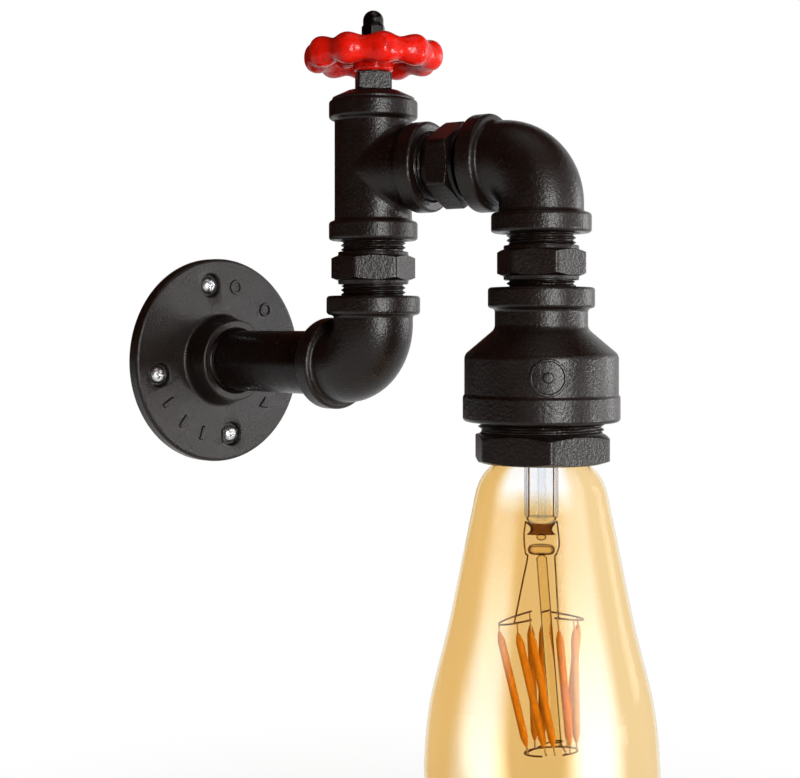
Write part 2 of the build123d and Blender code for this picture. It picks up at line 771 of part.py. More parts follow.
# The cage hangs from the collar and leans a little; its own frame has Z down the rod.
side_slope, front_slope = tan(radians(cage_lean)), tan(radians(cage_tip))
foot_way = Vector(cos(radians(cage_azimuth)), sin(radians(cage_azimuth)), 0)
front_way = Vector(foot_way.Y, -foot_way.X, 0)
cage_down = (down + foot_way * side_slope + front_way * front_slope).normalized()
collar_foot = pinch_foot - collar_drop - collar_h
cage_origin = at_drop(collar_foot)
cage_side = (foot_way - cage_down * foot_way.dot(cage_down)).normalized()
cage_front = cage_down.cross(cage_side)


def cage_point(radius, angle, depth):
    """Point of the cage: `angle` is measured from its front towards its leaning side."""
    return (cage_origin + cage_down * depth + cage_front * (radius * cos(radians(angle)))
            + cage_side * (radius * sin(radians(angle))))


ring_top = filament_top - collar_drop - collar_h - tip_len
filament_start = ring_top + tip_len
filament_drop = sqrt(filament_len ** 2 - (filament_top_r - filament_foot_r) ** 2
                     - (filament_top_r * radians(cage_twist)) ** 2 * 0.8)
filament_end = filament_start + filament_drop
ring_foot = filament_end + tip_len

with BuildPart() as bulb_rod:
    rod_seat = rod_d / 2 * sqrt(side_slope ** 2 + front_slope ** 2) + slip_fit
    add(rod(rod_d / 2, rod_len - rod_seat, cage_origin + cage_down * rod_seat, cage_down))

with BuildPart() as bulb_filaments:
    for angle in filament_angles:
        head = cage_point(filament_top_r, angle, filament_start)
        foot = cage_point(filament_foot_r, angle + cage_twist, filament_end)
        length = (foot - head).length
        half = filament_d / 2
        add(turned([(0, 0), (bridge_d / 2, 0), (half, filament_tip), (half, length - filament_tip),
                    (bridge_d / 2, length), (0, length)], head, foot - head))

with BuildPart() as bulb_tips:
    for angle in filament_angles:
        head = cage_point(filament_top_r, angle, filament_start)
        foot = cage_point(filament_foot_r, angle + cage_twist, filament_end)
        along = (foot - head).normalized()
        for end, way in ((head, along * -1), (foot, along)):
            add(rod(bridge_d / 2, tip_len - bridge_d / 2 - slip_fit, end, way))


def bridge_route(first, last):
    """Corner points of a bridge wire from one angle round to another."""
    leg = (last - first) / bridge_legs
    return [cage_point(filament_top_r, first + leg * k, ring_top) for k in range(bridge_legs + 1)]


with BuildPart() as bulb_bridges:
    for first, last in bridge_arcs:
        route = bridge_route(first, last)
        add(wire(route, [filament_top_r * 0.9] * (bridge_legs - 1), bridge_d / 2))

with BuildPart() as bulb_hanger:
    arc = [cage_point(filament_foot_r, cage_twist + 45 * k, ring_foot) for k in range(8)]
    add(wire(arc, [filament_foot_r * 0.9] * 6, bridge_d / 2))

with BuildPart() as bulb_leads:
    for side, bow, ends in ((-1, lead_bows[0], bridge_arcs[0]), (1, lead_bows[1], bridge_arcs[1])):
        pinch_point = at_drop(pinch_foot - lead_clear) + foot_way * (side * lead_spread)
        bow_point = at_drop(pinch_foot - bow_drop) + foot_way * (side * bow)
        low_point = at_drop(collar_foot - hip_drop) + foot_way * (side * lead_hip)
        leg_ends = bridge_route(*ends)[:2]
        bridge_point = (leg_ends[0] + leg_ends[1]) * 0.5 - cage_down * (bridge_d / 2 + lead_d / 2)
        add(wire([pinch_point, bow_point, low_point, bridge_point], [lead_round] * 2, lead_d / 2))

with BuildPart() as bulb_inner_leads:
    for side in (-1, 1):
        top = at_drop(stem_top + lead_rise) + foot_way * (side * lead_spread)
        add(rod(lead_d / 2, stem_top + lead_rise - stem_foot, top, down))

with BuildPart() as bulb_driver:
    board_z = stem_top + lead_rise
    board_plane = Plane(origin=tuple(at_drop(board_z)), x_dir=tuple(foot_way), z_dir=(0, 0, 1))
    with BuildSketch(board_plane):
        Rectangle(driver_size[0], driver_size[1])
    extrude(amount=shoulder_cap - seat_gap - board_z)

# ---- Top plug, rotary switch and handwheel ------------------------------------------------------

plug_bore_r = thread_r - plug_wall

with BuildPart() as top_plug:
    outline = [(0, web_z), (plug_bore_r, web_z), (plug_bore_r, tee_top - thread_len)]
    outline += threads(thread_r, tee_top - thread_len, tee_top, thread_pitch, thread_depth)
    outline += [(plug_seat_d / 2, tee_top), (plug_seat_d / 2, tee_top + plug_rim),
                (plug_cone_d / 2, tee_top + plug_cone_h), (0, tee_top + plug_cone_h)]
    add(turned(outline, at_column(0), up))
    with BuildSketch(Plane(origin=tuple(at_column(tee_top)), z_dir=(0, 0, 1))):
        Rectangle(plug_head_af, plug_head_af, rotation=plug_head_turn)
    extrude(amount=plug_head_h)
    add(rod(bush_r + slip_fit, plug_head_h + plug_web + 2 * cut_past, at_column(web_z - cut_past), up),
        mode=Mode.SUBTRACT)

with BuildPart() as earth_tag:
    add(turned([(bush_r + slip_fit, web_z - tag_t), (bush_flange_d / 2, web_z - tag_t),
                (bush_flange_d / 2, web_z), (bush_r + slip_fit, web_z)], at_column(0), up))
    tab_r = switch_d / 2 + 2 * slip_fit
    barrel_r = tab_r + barrel_d / 2 - tag_t
    barrel_top = switch_foot - seat_gap
    with BuildSketch(Plane(origin=tuple(at_column(web_z)), z_dir=(0, 0, 1))):
        with Locations(((tab_r + tag_root) / 2, 0)):
            Rectangle(tab_r - tag_root + 2 * tag_t, tag_w)
    extrude(amount=-tag_t)
    with BuildSketch(Plane(origin=tuple(at_column(web_z)), z_dir=(0, 0, 1))):
        with Locations((tab_r + tag_t / 2, 0)):
            Rectangle(tag_t, tag_w)
    extrude(amount=barrel_top - tag_lap - web_z)
    add(rod(barrel_d / 2, barrel_len, at_column(barrel_top) + Vector(barrel_r, 0, 0), down))

with BuildPart() as switch_bush:
    add(turned([(shaft_d / 2 + slip_fit, switch_top), (bush_flange_d / 2, switch_top),
                (bush_flange_d / 2, switch_top + bush_flange_t),
                (bush_r, switch_top + bush_flange_t), (bush_r, head_top - seat_gap),
                (shaft_d / 2 + slip_fit, head_top - seat_gap)], at_column(0), up))

with BuildPart() as switch_housing:
    inner = switch_d / 2 - switch_wall
    add(turned([(shaft_d / 2 + slip_fit, switch_top), (switch_d / 2, switch_top),
                (switch_d / 2, switch_foot), (inner, switch_foot),
                (inner, switch_top - switch_wall), (shaft_d / 2 + slip_fit, switch_top - switch_wall)],
               at_column(0), up))

with BuildPart() as switch_base:
    add(rod(inner - slip_fit, switch_base_t, at_column(switch_foot), up))
    for side in (-1, 1):
        spot = at_column(switch_foot - cut_past) + Vector(side * switch_pin_r, 0, 0)
        add(rod(switch_pin_d / 2 + slip_fit, switch_base_t + 2 * cut_past, spot, up), mode=Mode.SUBTRACT)

with BuildPart() as switch_pins:
    for side in (-1, 1):
        spot = at_column(switch_foot - switch_pin_len) + Vector(side * switch_pin_r, 0, 0)
        add(rod(switch_pin_d / 2, switch_pin_len + switch_base_t + switch_pin_head, spot, up))

with BuildPart() as switch_wiper:
    wiper_z = switch_foot + switch_base_t + switch_pin_head + seat_gap
    with BuildSketch(Plane(origin=tuple(at_column(wiper_z)), z_dir=(0, 0, 1))):
        SlotOverall(2 * (switch_pin_r + wiper_past), wiper_w)
    extrude(amount=wiper_t)

with BuildPart() as switch_shaft:
    rotor_z = wiper_z + wiper_t
    drive_top = wheel_foot + hub_h - drive_short
    add(rod(rotor_d / 2, switch_top - switch_wall - seat_gap - rotor_z, at_column(rotor_z), up))
    add(rod(shaft_d / 2, wheel_foot - rotor_z, at_column(rotor_z), up))
    with BuildSketch(Plane(origin=tuple(at_column(wheel_foot)), z_dir=(0, 0, 1))):
        Rectangle(drive_af, drive_af)
    extrude(amount=drive_top - wheel_foot)
    add(rod(stud_d / 2, nut_foot + nut_hex_h + stud_past - drive_top, at_column(drive_top), up))

with BuildPart() as handwheel:
    rim_r = wheel_d / 2 - wheel_h / 2
    with BuildSketch(axis_plane(at_column(wheel_z), up)):
        with Locations((rim_r, 0)):
            Circle(rim_tube_d / 2)
    revolve(axis=Axis(at_column(0), up))
    with Locations(Location(tuple(at_column(wheel_z)))):
        with PolarLocations(rim_r, wheel_lobes, start_angle=wheel_turn):
            Sphere(wheel_h / 2)
    add(rod(hub_d / 2, hub_h, at_column(wheel_foot), up))
    for k in range(wheel_spokes):
        turn = radians(wheel_turn + 360 * k / wheel_spokes)
        way = Vector(cos(turn), sin(turn), 0)
        spoke_plane = Plane(origin=tuple(at_column(wheel_z)), x_dir=tuple(up.cross(way)), z_dir=tuple(way))
        with BuildSketch(spoke_plane.offset(hub_d / 4)):
            Ellipse(spoke_w / 2, spoke_h / 2)
        extrude(amount=rim_r - hub_d / 4)
    with BuildSketch(Plane(origin=tuple(at_column(wheel_foot)), z_dir=(0, 0, 1))):
        Rectangle(drive_af + 2 * slip_fit, drive_af + 2 * slip_fit)
    extrude(amount=hub_h, mode=Mode.SUBTRACT)

with BuildPart() as wheel_washer:
    add(turned([(stud_d / 2 + 2 * slip_fit, 0), (washer_d / 2, 0), (washer_d / 2, washer_t),
                (stud_d / 2 + 2 * slip_fit, washer_t)], at_column(nut_foot - washer_t), up))

with BuildPart() as wheel_nut:
    add(placed(barrel_hex(nut_af, nut_hex_h, nut_chamfer, nut_turn), at_column(nut_foot)))
    dome_r = nut_af / 2 - dome_step
    dome_top = nut_h - nut_hex_h + dome_sink
    with BuildSketch(axis_plane(at_column(nut_foot + nut_hex_h - dome_sink), up)):
        with BuildLine():
            Polyline((0, dome_top), (0, 0), (dome_r, 0), (dome_r, dome_top - dome_r))
            TangentArc((0, dome_top), (dome_r, dome_top - dome_r), tangent=(1, 0))
        make_face()
    revolve(axis=Axis(at_column(0), up))
    add(rod(stud_d / 2 + slip_fit, nut_hex_h + stud_past + seat_gap, at_column(nut_foot), up),
        mode=Mode.SUBTRACT)

# ---- Wiring -------------------------------------------------------------------------------------

block_w = 2 * sqrt((bore_r - seat_gap) ** 2 - (block_h / 2) ** 2)
block_back = -block_inset
block_front = block_back - block_len
poles = (-wire_pitch, 0.0, wire_pitch)
screw_rows = (block_back - block_screw_in, block_front + block_screw_in)

with BuildPart() as terminal_block:
    with BuildSketch(Plane(origin=(0, block_back, 0), x_dir=(1, 0, 0), z_dir=(0, -1, 0))):
        Rectangle(block_w, block_h)
        with Locations(*[(x, 0) for x in poles]):
            Circle(tube_d / 2 + slip_fit, mode=Mode.SUBTRACT)
    extrude(amount=block_len)
    for y in screw_rows:
        for x in poles:
            add(rod(block_screw_d / 2 + slip_fit, block_h, (x, y, 0), up), mode=Mode.SUBTRACT)

with BuildPart() as block_tubes:
    for x in poles:
        bore = wire_d / 2 + 2 * slip_fit
        far = block_len - tube_inset
        add(turned([(bore, tube_inset), (tube_d / 2, tube_inset), (tube_d / 2, far), (bore, far)],
                   (x, block_back, 0), room))
        for y in screw_rows:
            add(rod(block_screw_d / 2 + slip_fit, block_h, (x, y, 0), up), mode=Mode.SUBTRACT)

with BuildPart() as block_screws:
    for y in screw_rows:
        for x in poles:
            add(rod(block_screw_d / 2, block_h / 2 - wire_d / 2 - 2 * seat_gap,
                    (x, y, wire_d / 2 + seat_gap), up))

pole_y = block_front + wire_in_block
pin_foot = switch_foot - switch_pin_len
terminal_head = holder_top + holder_terminal[2]
splay_top = reducer_top + splay_start
splay_foot = reducer_top - splay_end
live_x, neutral_x, earth_x = poles

with BuildPart() as wire_live:
    add(wire([(live_x, pole_y, 0), (live_x, -reach, 0), (live_x, -reach, pin_foot)], [bend_wire_r]))

with BuildPart() as wire_earth:
    add(wire([(earth_x, pole_y, 0), (earth_x, -reach, 0), (earth_x, -reach, tee_z - earth_straight),
              (barrel_r, -reach, tee_z - earth_offset), (barrel_r, -reach, barrel_top - barrel_len)],
             [bend_wire_r, step_round, step_round]))

with BuildPart() as wire_neutral:
    low = tee_z - sag
    add(wire([(neutral_x, pole_y, 0), (neutral_x, -reach, 0), at_column(low),
              at_drop(low, -sag), at_drop(splay_top, -sag),
              at_drop(splay_foot, -holder_terminal_r), at_drop(terminal_head, -holder_terminal_r)],
             [bend_wire_r, step_round, bend_wire_r - sag, step_round, splay_round]))

with BuildPart() as wire_switched:
    pin = at_column(pin_foot) + Vector(switch_pin_r, 0, 0)
    add(wire([pin, Vector(pin.X, pin.Y, tee_z), at_drop(tee_z, 0), at_drop(splay_top, 0),
              at_drop(splay_foot, holder_terminal_r), at_drop(terminal_head, holder_terminal_r)],
             [pin_round, bend_wire_r, step_round, splay_round]))

# ---- Output -------------------------------------------------------------------------------------

pieces = {
    "wall_flange": wall_flange, "wall_screws": wall_screws, "wall_nipple": wall_nipple,
    "lower_elbow": lower_elbow, "column_nipple": column_nipple, "tee": tee,
    "arm_nipple": arm_nipple, "upper_elbow": upper_elbow, "drop_nipple": drop_nipple,
    "reducer": reducer, "socket_bushing": socket_bushing,
    "holder_gasket": holder_gasket, "holder_body": holder_body, "holder_shell": holder_shell,
    "holder_contact": holder_contact, "holder_terminals": holder_terminals,
    "holder_screws": holder_screws,
    "bulb_contact": bulb_contact, "bulb_insulator": bulb_insulator, "bulb_cap": bulb_cap,
    "bulb_glass": bulb_glass, "bulb_stem": bulb_stem, "bulb_exhaust": bulb_exhaust,
    "bulb_rod": bulb_rod, "bulb_filaments": bulb_filaments, "bulb_tips": bulb_tips,
    "bulb_bridges": bulb_bridges, "bulb_hanger": bulb_hanger, "bulb_leads": bulb_leads,
    "bulb_inner_leads": bulb_inner_leads, "bulb_driver": bulb_driver,
    "top_plug": top_plug, "earth_tag": earth_tag, "switch_bush": switch_bush,
    "switch_housing": switch_housing, "switch_base": switch_base, "switch_pins": switch_pins,
    "switch_wiper": switch_wiper, "switch_shaft": switch_shaft, "handwheel": handwheel,
    "wheel_washer": wheel_washer, "wheel_nut": wheel_nut,
    "terminal_block": terminal_block, "block_tubes": block_tubes, "block_screws": block_screws,
    "wire_live": wire_live, "wire_earth": wire_earth, "wire_neutral": wire_neutral,
    "wire_switched": wire_switched,
}

os.makedirs("parts", exist_ok=True)
for name, piece in pieces.items():
    piece.part.label = name
    export_step(piece.part, f"parts/{name}.step")
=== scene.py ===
"""Industrial pipe wall light: iron fittings, a red handwheel and an amber filament lamp.

Laid out as an add-on and run as a script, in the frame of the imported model: the wall is the plane
Y = 0, the room is towards -Y and +Z is up. New pieces are numpy surfaces, worked out in millimetres
and turned into metres by mesh_of(). Materials and the stage are in metres.
"""
from math import cos, pi, radians, sin, sqrt, tan
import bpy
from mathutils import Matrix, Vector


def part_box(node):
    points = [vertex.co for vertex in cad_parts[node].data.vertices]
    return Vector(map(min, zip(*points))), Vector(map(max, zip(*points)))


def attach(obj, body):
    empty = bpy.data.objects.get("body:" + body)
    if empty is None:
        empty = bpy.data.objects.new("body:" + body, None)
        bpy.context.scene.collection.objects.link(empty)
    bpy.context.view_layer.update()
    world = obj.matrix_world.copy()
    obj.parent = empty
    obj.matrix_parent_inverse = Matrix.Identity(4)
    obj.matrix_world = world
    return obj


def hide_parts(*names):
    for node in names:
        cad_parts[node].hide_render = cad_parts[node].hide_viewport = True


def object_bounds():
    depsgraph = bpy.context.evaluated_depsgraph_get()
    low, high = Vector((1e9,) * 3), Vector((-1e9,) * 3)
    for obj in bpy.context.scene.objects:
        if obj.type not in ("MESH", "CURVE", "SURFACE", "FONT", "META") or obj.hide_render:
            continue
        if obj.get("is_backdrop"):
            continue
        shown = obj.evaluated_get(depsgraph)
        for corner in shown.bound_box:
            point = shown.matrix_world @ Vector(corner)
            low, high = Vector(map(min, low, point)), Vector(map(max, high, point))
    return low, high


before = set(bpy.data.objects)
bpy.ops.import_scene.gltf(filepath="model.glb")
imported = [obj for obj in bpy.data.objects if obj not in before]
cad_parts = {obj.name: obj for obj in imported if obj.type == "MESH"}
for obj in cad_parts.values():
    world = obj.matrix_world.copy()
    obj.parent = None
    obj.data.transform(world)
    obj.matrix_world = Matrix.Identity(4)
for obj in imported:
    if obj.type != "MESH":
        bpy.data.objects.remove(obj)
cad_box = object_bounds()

from types import SimpleNamespace

import bmesh
import bpy
import numpy as np
from bpy.props import FloatProperty, FloatVectorProperty, IntProperty, PointerProperty
from mathutils import Matrix

bl_info = {
    "name": "Industrial pipe wall light",
    "version": (1, 0, 0),
    "blender": (4, 5, 0),
    "location": "3D View > Sidebar > Pipe light",
    "description": "Dresses the packed frame of a wall light made of screwed iron pipe fittings",
    "category": "Object",
}

MM = 0.001
WELD = 1e-7         # metres within which points are joined
SOCKET_DEEP = 14.1  # millimetres from a small mouth to the end of its socket
ALONG_WALL = np.array([1.0, 0.0, 0.0])
ROOM = np.array([0.0, -1.0, 0.0])
UP = np.array([0.0, 0.0, 1.0])
DOWN = -UP


# ---- Sizes and colours --------------------------------------------------------------------------

def length(name, description, size_mm):
    """Property for a length, given in millimetres."""
    return FloatProperty(name=name, description=description, default=size_mm * MM, unit="LENGTH")


def angle(name, description, degrees):
    """Property for an angle, given in degrees."""
    return FloatProperty(name=name, description=description, default=radians(degrees),
                         subtype="ANGLE")


def colour(name, description, *linear):
    """Property for a colour, as linear values."""
    return FloatVectorProperty(name=name, description=description, default=linear,
                               subtype="COLOR", min=0.0, max=1.0)


class PIPELIGHT_PG_fittings(bpy.types.PropertyGroup):
    """Sizes of the screwed iron fittings."""
    thread_r: length("Thread radius", "Crest radius of the small pipe thread", 13.2)
    thread_pitch: length("Thread pitch", "Pitch of the small pipe thread", 1.814)
    thread_depth: length("Thread depth", "Depth of the small pipe thread", 1.1)
    thread_len: length("Screwed length", "Length of thread inside a fitting", 13.5)
    socket_r: length("Socket radius", "Radius of a socket for the small thread", 13.25)
    pipe_r: length("Pipe radius", "Outer radius of the plain pipe", 13.45)
    bore_r: length("Bore radius", "Inner radius of pipes and fittings", 10.5)
    reach: length("Reach", "Distance from the wall to the column's axis", 107.0)
    arm_turn: angle("Arm turn", "How far the arm turns from the wall's square", 12.7)
    span: length("Arm span", "Distance between the axes of the column and the drop", 77.15)
    arm_z: length("Arm height", "Height of the arm's axis over the wall pipe's", 78.7)
    elbow_face: length("Elbow face", "From an elbow's centre to its mouths", 27.8)
    tee_face: length("Tee face", "From the tee's centre to its mouths", 28.4)
    hex_flat: length("Hexagon", "Width across the flats of the nipples", 30.0)
    hex_len: length("Hexagon length", "Length of the nipples' hexagons", 10.2)
    large_r: length("Large thread radius", "Crest radius of the bushing's thread", 23.9)
    large_pitch: length("Large thread pitch", "Pitch of the bushing's thread", 2.31)
    large_depth: length("Large thread depth", "Depth of the bushing's thread", 1.3)
    flange_r: length("Flange radius", "Outer radius of the wall flange", 45.9)
    flange_t: length("Flange thickness", "Thickness of the wall flange", 6.0)
    screw_circle_r: length("Screw circle radius", "Radius of the circle of wall screws", 34.25)
    screw_turn: angle("Screw turn", "Turn of the circle of wall screws", 10.0)


class PIPELIGHT_PG_wheel(bpy.types.PropertyGroup):
    """Sizes of the handwheel."""
    wheel_r: length("Wheel radius", "Outer radius over the lobes", 28.5)
    rim_in: length("Rim's inner radius", "Inner radius of the rim", 17.4)
    waist_out: length("Waist radius", "Outer radius of the rim between lobes", 25.9)
    lobe_h: length("Lobe height", "Height of the rim at a lobe", 12.5)
    waist_h: length("Waist height", "Height of the rim between lobes", 9.6)
    lobes: IntProperty(name="Lobes", description="Lobes round the rim", default=10, min=3)
    spokes: IntProperty(name="Spokes", description="Number of spokes", default=5, min=2)
    turn: angle("Wheel turn", "Turn of the first lobe", 21.0)
    hub_r: length("Hub radius", "Radius of the hub", 8.5)
    hub_h: length("Hub height", "Height of the hub", 12.7)


class PIPELIGHT_PG_lamp(bpy.types.PropertyGroup):
    """Sizes of the lamp."""
    belly_r: length("Belly radius", "Largest radius of the bulb", 44.58)
    belly_drop: length("Belly depth", "Widest place below the cap's edge", 120.0)
    wall: length("Glass wall", "Thickness of the bulb's glass", 1.0)
    cage_lean: angle("Cage lean", "Lean of the filament cage to its side", 4.0)
    cage_tip: angle("Cage tip", "Lean of the filament cage to its front", 6.0)
    cage_azimuth: angle("Cage azimuth", "Direction of the cage's side", -44.0)
    # Direction along which the glass's painted reflection stripes and painted shoulder highlight
    # are ranged.
    streak_azimuth: angle("Streak azimuth", "Direction the glass's streaks are ranged along", -49.2)
    cage_twist: angle("Cage twist", "Turn of the filaments' feet against their heads", 20.0)
    cage_top_r: length("Cage top radius", "Radius of the filaments' heads", 16.2)
    cage_foot_r: length("Cage foot radius", "Radius of the filaments' feet", 10.3)
    cage_shift: length("Cage shift", "How far the filaments stand beside the rod's axis", -2.1)


class PIPELIGHT_PG_finish(bpy.types.PropertyGroup):
    """Colours of the finishes."""
    iron: colour("Black iron", "Satin black coat of the castings", 0.0050, 0.0022, 0.0014)
    enamel: colour("Red enamel", "Gloss coat of the handwheel", 0.58, 0.008, 0.003)
    zinc: colour("Zinc", "Plated screws", 0.66, 0.67, 0.68)
    amber: colour("Amber glass", "Tint of one wall of the bulb's glass", 0.885, 0.695, 0.40)
    phosphor: colour("Phosphor", "Coat of the filaments", 0.27, 0.096, 0.002)


class PIPELIGHT_PG_stage(bpy.types.PropertyGroup):
    """The camera and the studio."""
    lens: FloatProperty(name="Lens", description="Focal length in millimetres", default=69.43)
    heading: angle("Heading", "Direction that the camera looks in", 43.98)
    shift: FloatProperty(name="Shift", description="Vertical shift of the frame", default=-0.082)
    floor_drop: length("Floor", "Distance of the floor below the lamp", 30.0)
    fill: FloatProperty(name="Fill", description="Strength of the world's light", default=0.32)


GROUPS = (PIPELIGHT_PG_fittings, PIPELIGHT_PG_wheel, PIPELIGHT_PG_lamp, PIPELIGHT_PG_finish,
          PIPELIGHT_PG_stage)


def sizes(group):
    """Values of the scene's property group of that name, with its lengths in millimetres."""
    held = getattr(bpy.context.scene, "pipelight_" + group)
    values = {}
    for key, rule in held.bl_rna.properties.items():
        value = getattr(held, key)
        values[key] = value / MM if getattr(rule, "unit", "") == "LENGTH" else value
    return SimpleNamespace(**values)


# ---- Surfaces -----------------------------------------------------------------------------------

def turn_angles(count):
    """Angles of `count` columns round a full turn."""
    return np.linspace(0.0, 2 * pi, count, endpoint=False)


def unit(vector):
    """`vector` at length one."""
    return np.asarray(vector, float) / np.linalg.norm(vector)


class Axes:
    """Right-handed frame whose Z runs along `along`; `side` gives its X."""

    def __init__(self, origin, along=UP, side=None):
        self.o = np.asarray(origin, float)
        self.z = unit(along)
        if side is None:
            side = ALONG_WALL if abs(self.z[0]) < 0.9 else -ROOM
        side = np.asarray(side, float)
        self.x = unit(side - self.z * side.dot(self.z))
        self.y = np.cross(self.z, self.x)

    def place(self, x, y, z):
        """Points at the frame's coordinates, given as arrays that broadcast together."""
        x, y, z = np.broadcast_arrays(x, y, z)
        return self.o + x[..., None] * self.x + y[..., None] * self.y + z[..., None] * self.z


def rounded(corners, steps=6):
    """Closed outline through (radius, height, rounding) corners. Each rounding is the arc that
    touches both sides, with a guard point beyond each end so that flat stretches shade flat."""
    corners = [(tuple(c) + (0.0,))[:3] for c in corners]
    guard = 0.12
    points = []
    for k, (r, z, rounding) in enumerate(corners):
        here = np.array([r, z])
        back = np.array(corners[k - 1][:2]) - here
        on = np.array(corners[(k + 1) % len(corners)][:2]) - here
        back_len, on_len = np.linalg.norm(back), np.linalg.norm(on)
        back, on = back / back_len, on / on_len
        half = np.arccos(np.clip(back.dot(on), -1, 1)) / 2
        if rounding <= 0 or half > pi / 2 - 0.02:
            points.append(here)
            continue
        reach = min(rounding / tan(half), 0.47 * back_len, 0.47 * on_len)
        radius = reach * tan(half)
        centre = here + unit(back + on) * radius / sin(half)
        start, stop = here + back * reach - centre, here + on * reach - centre
        sweep = np.arccos(np.clip(start.dot(stop) / radius ** 2, -1, 1))
        t = np.linspace(0, 1, steps + 1)[:, None]
        arc = (np.sin((1 - t) * sweep) * start + np.sin(t * sweep) * stop) / sin(sweep)
        points.append(here + back * (reach + min(guard, 0.02 * back_len)))
        points.extend(centre + arc)
        points.append(here + on * (reach + min(guard, 0.02 * on_len)))
    return np.array(points)


def grid(points, wrap=True):
    """(vertices, quads) of a grid of points whose columns close on themselves. With `wrap` the
    last row also joins the first."""
    rows, columns = points.shape[:2]
    index = np.arange(rows * columns).reshape(rows, columns)
    if wrap:
        index = np.vstack([index, index[:1]])
    low, high = index[:-1], index[1:]
    quads = np.stack([low, np.roll(low, -1, 1), np.roll(high, -1, 1), high], -1)
    return points.reshape(-1, 3), quads.reshape(-1, 4)


def revolve(axes, outline, columns):
    """Solid of revolution: every point (r, z) goes to (r cos a, r sin a, z)."""
    outline, a = np.asarray(outline, float), turn_angles(columns)
    r, z = outline[:, :1], outline[:, 1:]
    return grid(axes.place(r * np.cos(a), r * np.sin(a), z))


def lathe(axes, corners, columns, steps=6):
    """Solid of revolution of a rounded outline."""
    return revolve(axes, rounded(corners, steps), columns)


def prism(a, sides, turn, sharpness):
    """Radius of a polygon with rounded corners, as a share of its inner circle's: 1 / radius is the
    p-norm of the cosines of the angles to the sides' normals."""
    normals = turn + 2 * pi / sides * (np.arange(sides) + 0.5)
    facing = np.maximum(np.cos(a[:, None] - normals), 1e-6)
    return np.sum(facing ** sharpness, axis=1) ** (-1 / sharpness)


class Section:
    """Closed turned surface, built up in rows of heights and radii round its section."""

    def __init__(self, columns):
        self.a = turn_angles(columns)
        self.z, self.r = [], []

    def rows(self, z, r):
        """Adds rows of those heights and radii."""
        self.z.append(z + 0 * self.a)
        self.r.append(r + 0 * self.a)
        return self

    def plain(self, *points):
        """Adds rows of constant radius at (radius, height) points."""
        r, z = np.array(points, float).T[..., None]
        return self.rows(z, r)

    def thread(self, low, high, radius, pitch, depth, run_in, run_out):
        """Adds a helical thread: the radius is the crest's, less depth times a flattened triangle
        wave of height / pitch - a / 2 pi. It fades over a run-in and a run-out at its ends."""
        z = np.linspace(low, high, max(2, int(abs(high - low) / pitch * 12)))[:, None]
        wave = np.abs(2 * ((z / pitch - self.a / (2 * pi)) % 1.0) - 1)
        groove = np.clip(wave * 1.3 - 0.12, 0, 1)
        ends = np.clip((z - low) / run_in, 0, 1) * np.clip((high - z) / run_out, 0, 1)
        return self.rows(z, radius - depth * (1 - ends) - depth * groove * ends)

    def pipe_thread(self, low, high, run_in, run_out):
        """Adds the small pipe thread."""
        f = sizes("fittings")
        return self.thread(low, high, f.thread_r, f.thread_pitch, f.thread_depth, run_in, run_out)

    def polygon(self, low, high, flat, sides, turn, chamfer, sharpness=60):
        """Adds a prism with rounded corners, turned by degrees, its ends turned off by a cone."""
        inner = flat / 2
        corner = inner / cos(pi / sides)
        step = np.append(np.linspace(0, 1.15, 12), 1.4) * chamfer
        z = np.concatenate([low + step, high - step[::-1]])[:, None]
        inset = np.minimum(z - low, high - z)
        cone = inner - chamfer / 2 + inset * (corner - inner + chamfer / 2) / chamfer
        share = prism(self.a, sides, radians(turn), sharpness)
        return self.rows(z, np.minimum(inner * share, cone))

    def solid(self, axes):
        """The whole surface."""
        z, r = np.vstack(self.z), np.vstack(self.r)
        return grid(axes.place(r * np.cos(self.a), r * np.sin(self.a), z))


def tube(points, radii, columns=10):
    """Closed tube along a path: a circle of the given radius at each point, in a frame that is
    carried along without twist, with both ends drawn to a point."""
    points = np.asarray(points, float)
    radii = np.concatenate([[0.0], np.broadcast_to(radii, len(points)), [0.0]])[:, None, None]
    points = np.vstack([points[:1], points, points[-1:]])
    tangents = np.gradient(points + np.arange(len(points))[:, None] * 1e-6, axis=0)
    tangents /= np.linalg.norm(tangents, axis=1)[:, None]
    side = UP if abs(tangents[0][2]) < 0.9 else ALONG_WALL
    normals = []
    for tangent in tangents:
        side = unit(side - tangent * side.dot(tangent))
        normals.append(side)
    normals = np.array(normals)
    a = turn_angles(columns)[:, None]
    across = np.cross(tangents, normals)[:, None]
    ring = np.cos(a) * normals[:, None] + np.sin(a) * across
    return grid(points[:, None] + ring * radii, wrap=False)


def smooth_path(points, count):
    """Catmull-Rom curve through the points, at equal steps of its parameter."""
    p = np.asarray(points, float)
    p = np.vstack([2 * p[0] - p[1], p, 2 * p[-1] - p[-2]])
    t = np.linspace(0, len(p) - 3 - 1e-9, count)
    k = t.astype(int)
    f = (t - k)[:, None]
    a, b, c, d = p[k], p[k + 1], p[k + 2], p[k + 3]
    return 0.5 * (2 * b + (c - a) * f + (2 * a - 5 * b + 4 * c - d) * f ** 2
                  + (3 * b - a - 3 * c + d) * f ** 3)


def raised_mark(outline, height, to_place):
    """Raised mark with rounded edges: `outline`(a, inset) is the distance of its edge drawn in by
    `inset`. Across the side the height is height * sqrt(1 - (1 - inset / side)^2), and then flat.
    `to_place`(x, y, h) puts it on its carrier."""
    a, side, sunk = turn_angles(72), 0.6, -0.1
    inset = side * (1 - np.cos(np.linspace(0, pi / 2, 8)))
    reach = [outline(a, 0.0)] + [outline(a, s) for s in inset]
    reach = np.array(reach + [reach[-1] * 0.5, 0 * a])
    lift = height * np.sqrt(1 - (1 - inset / side) ** 2)
    lift = np.concatenate([[sunk], lift, [height, height]])[:, None]
    return grid(to_place(reach * np.cos(a), reach * np.sin(a), lift + 0 * a), wrap=False)


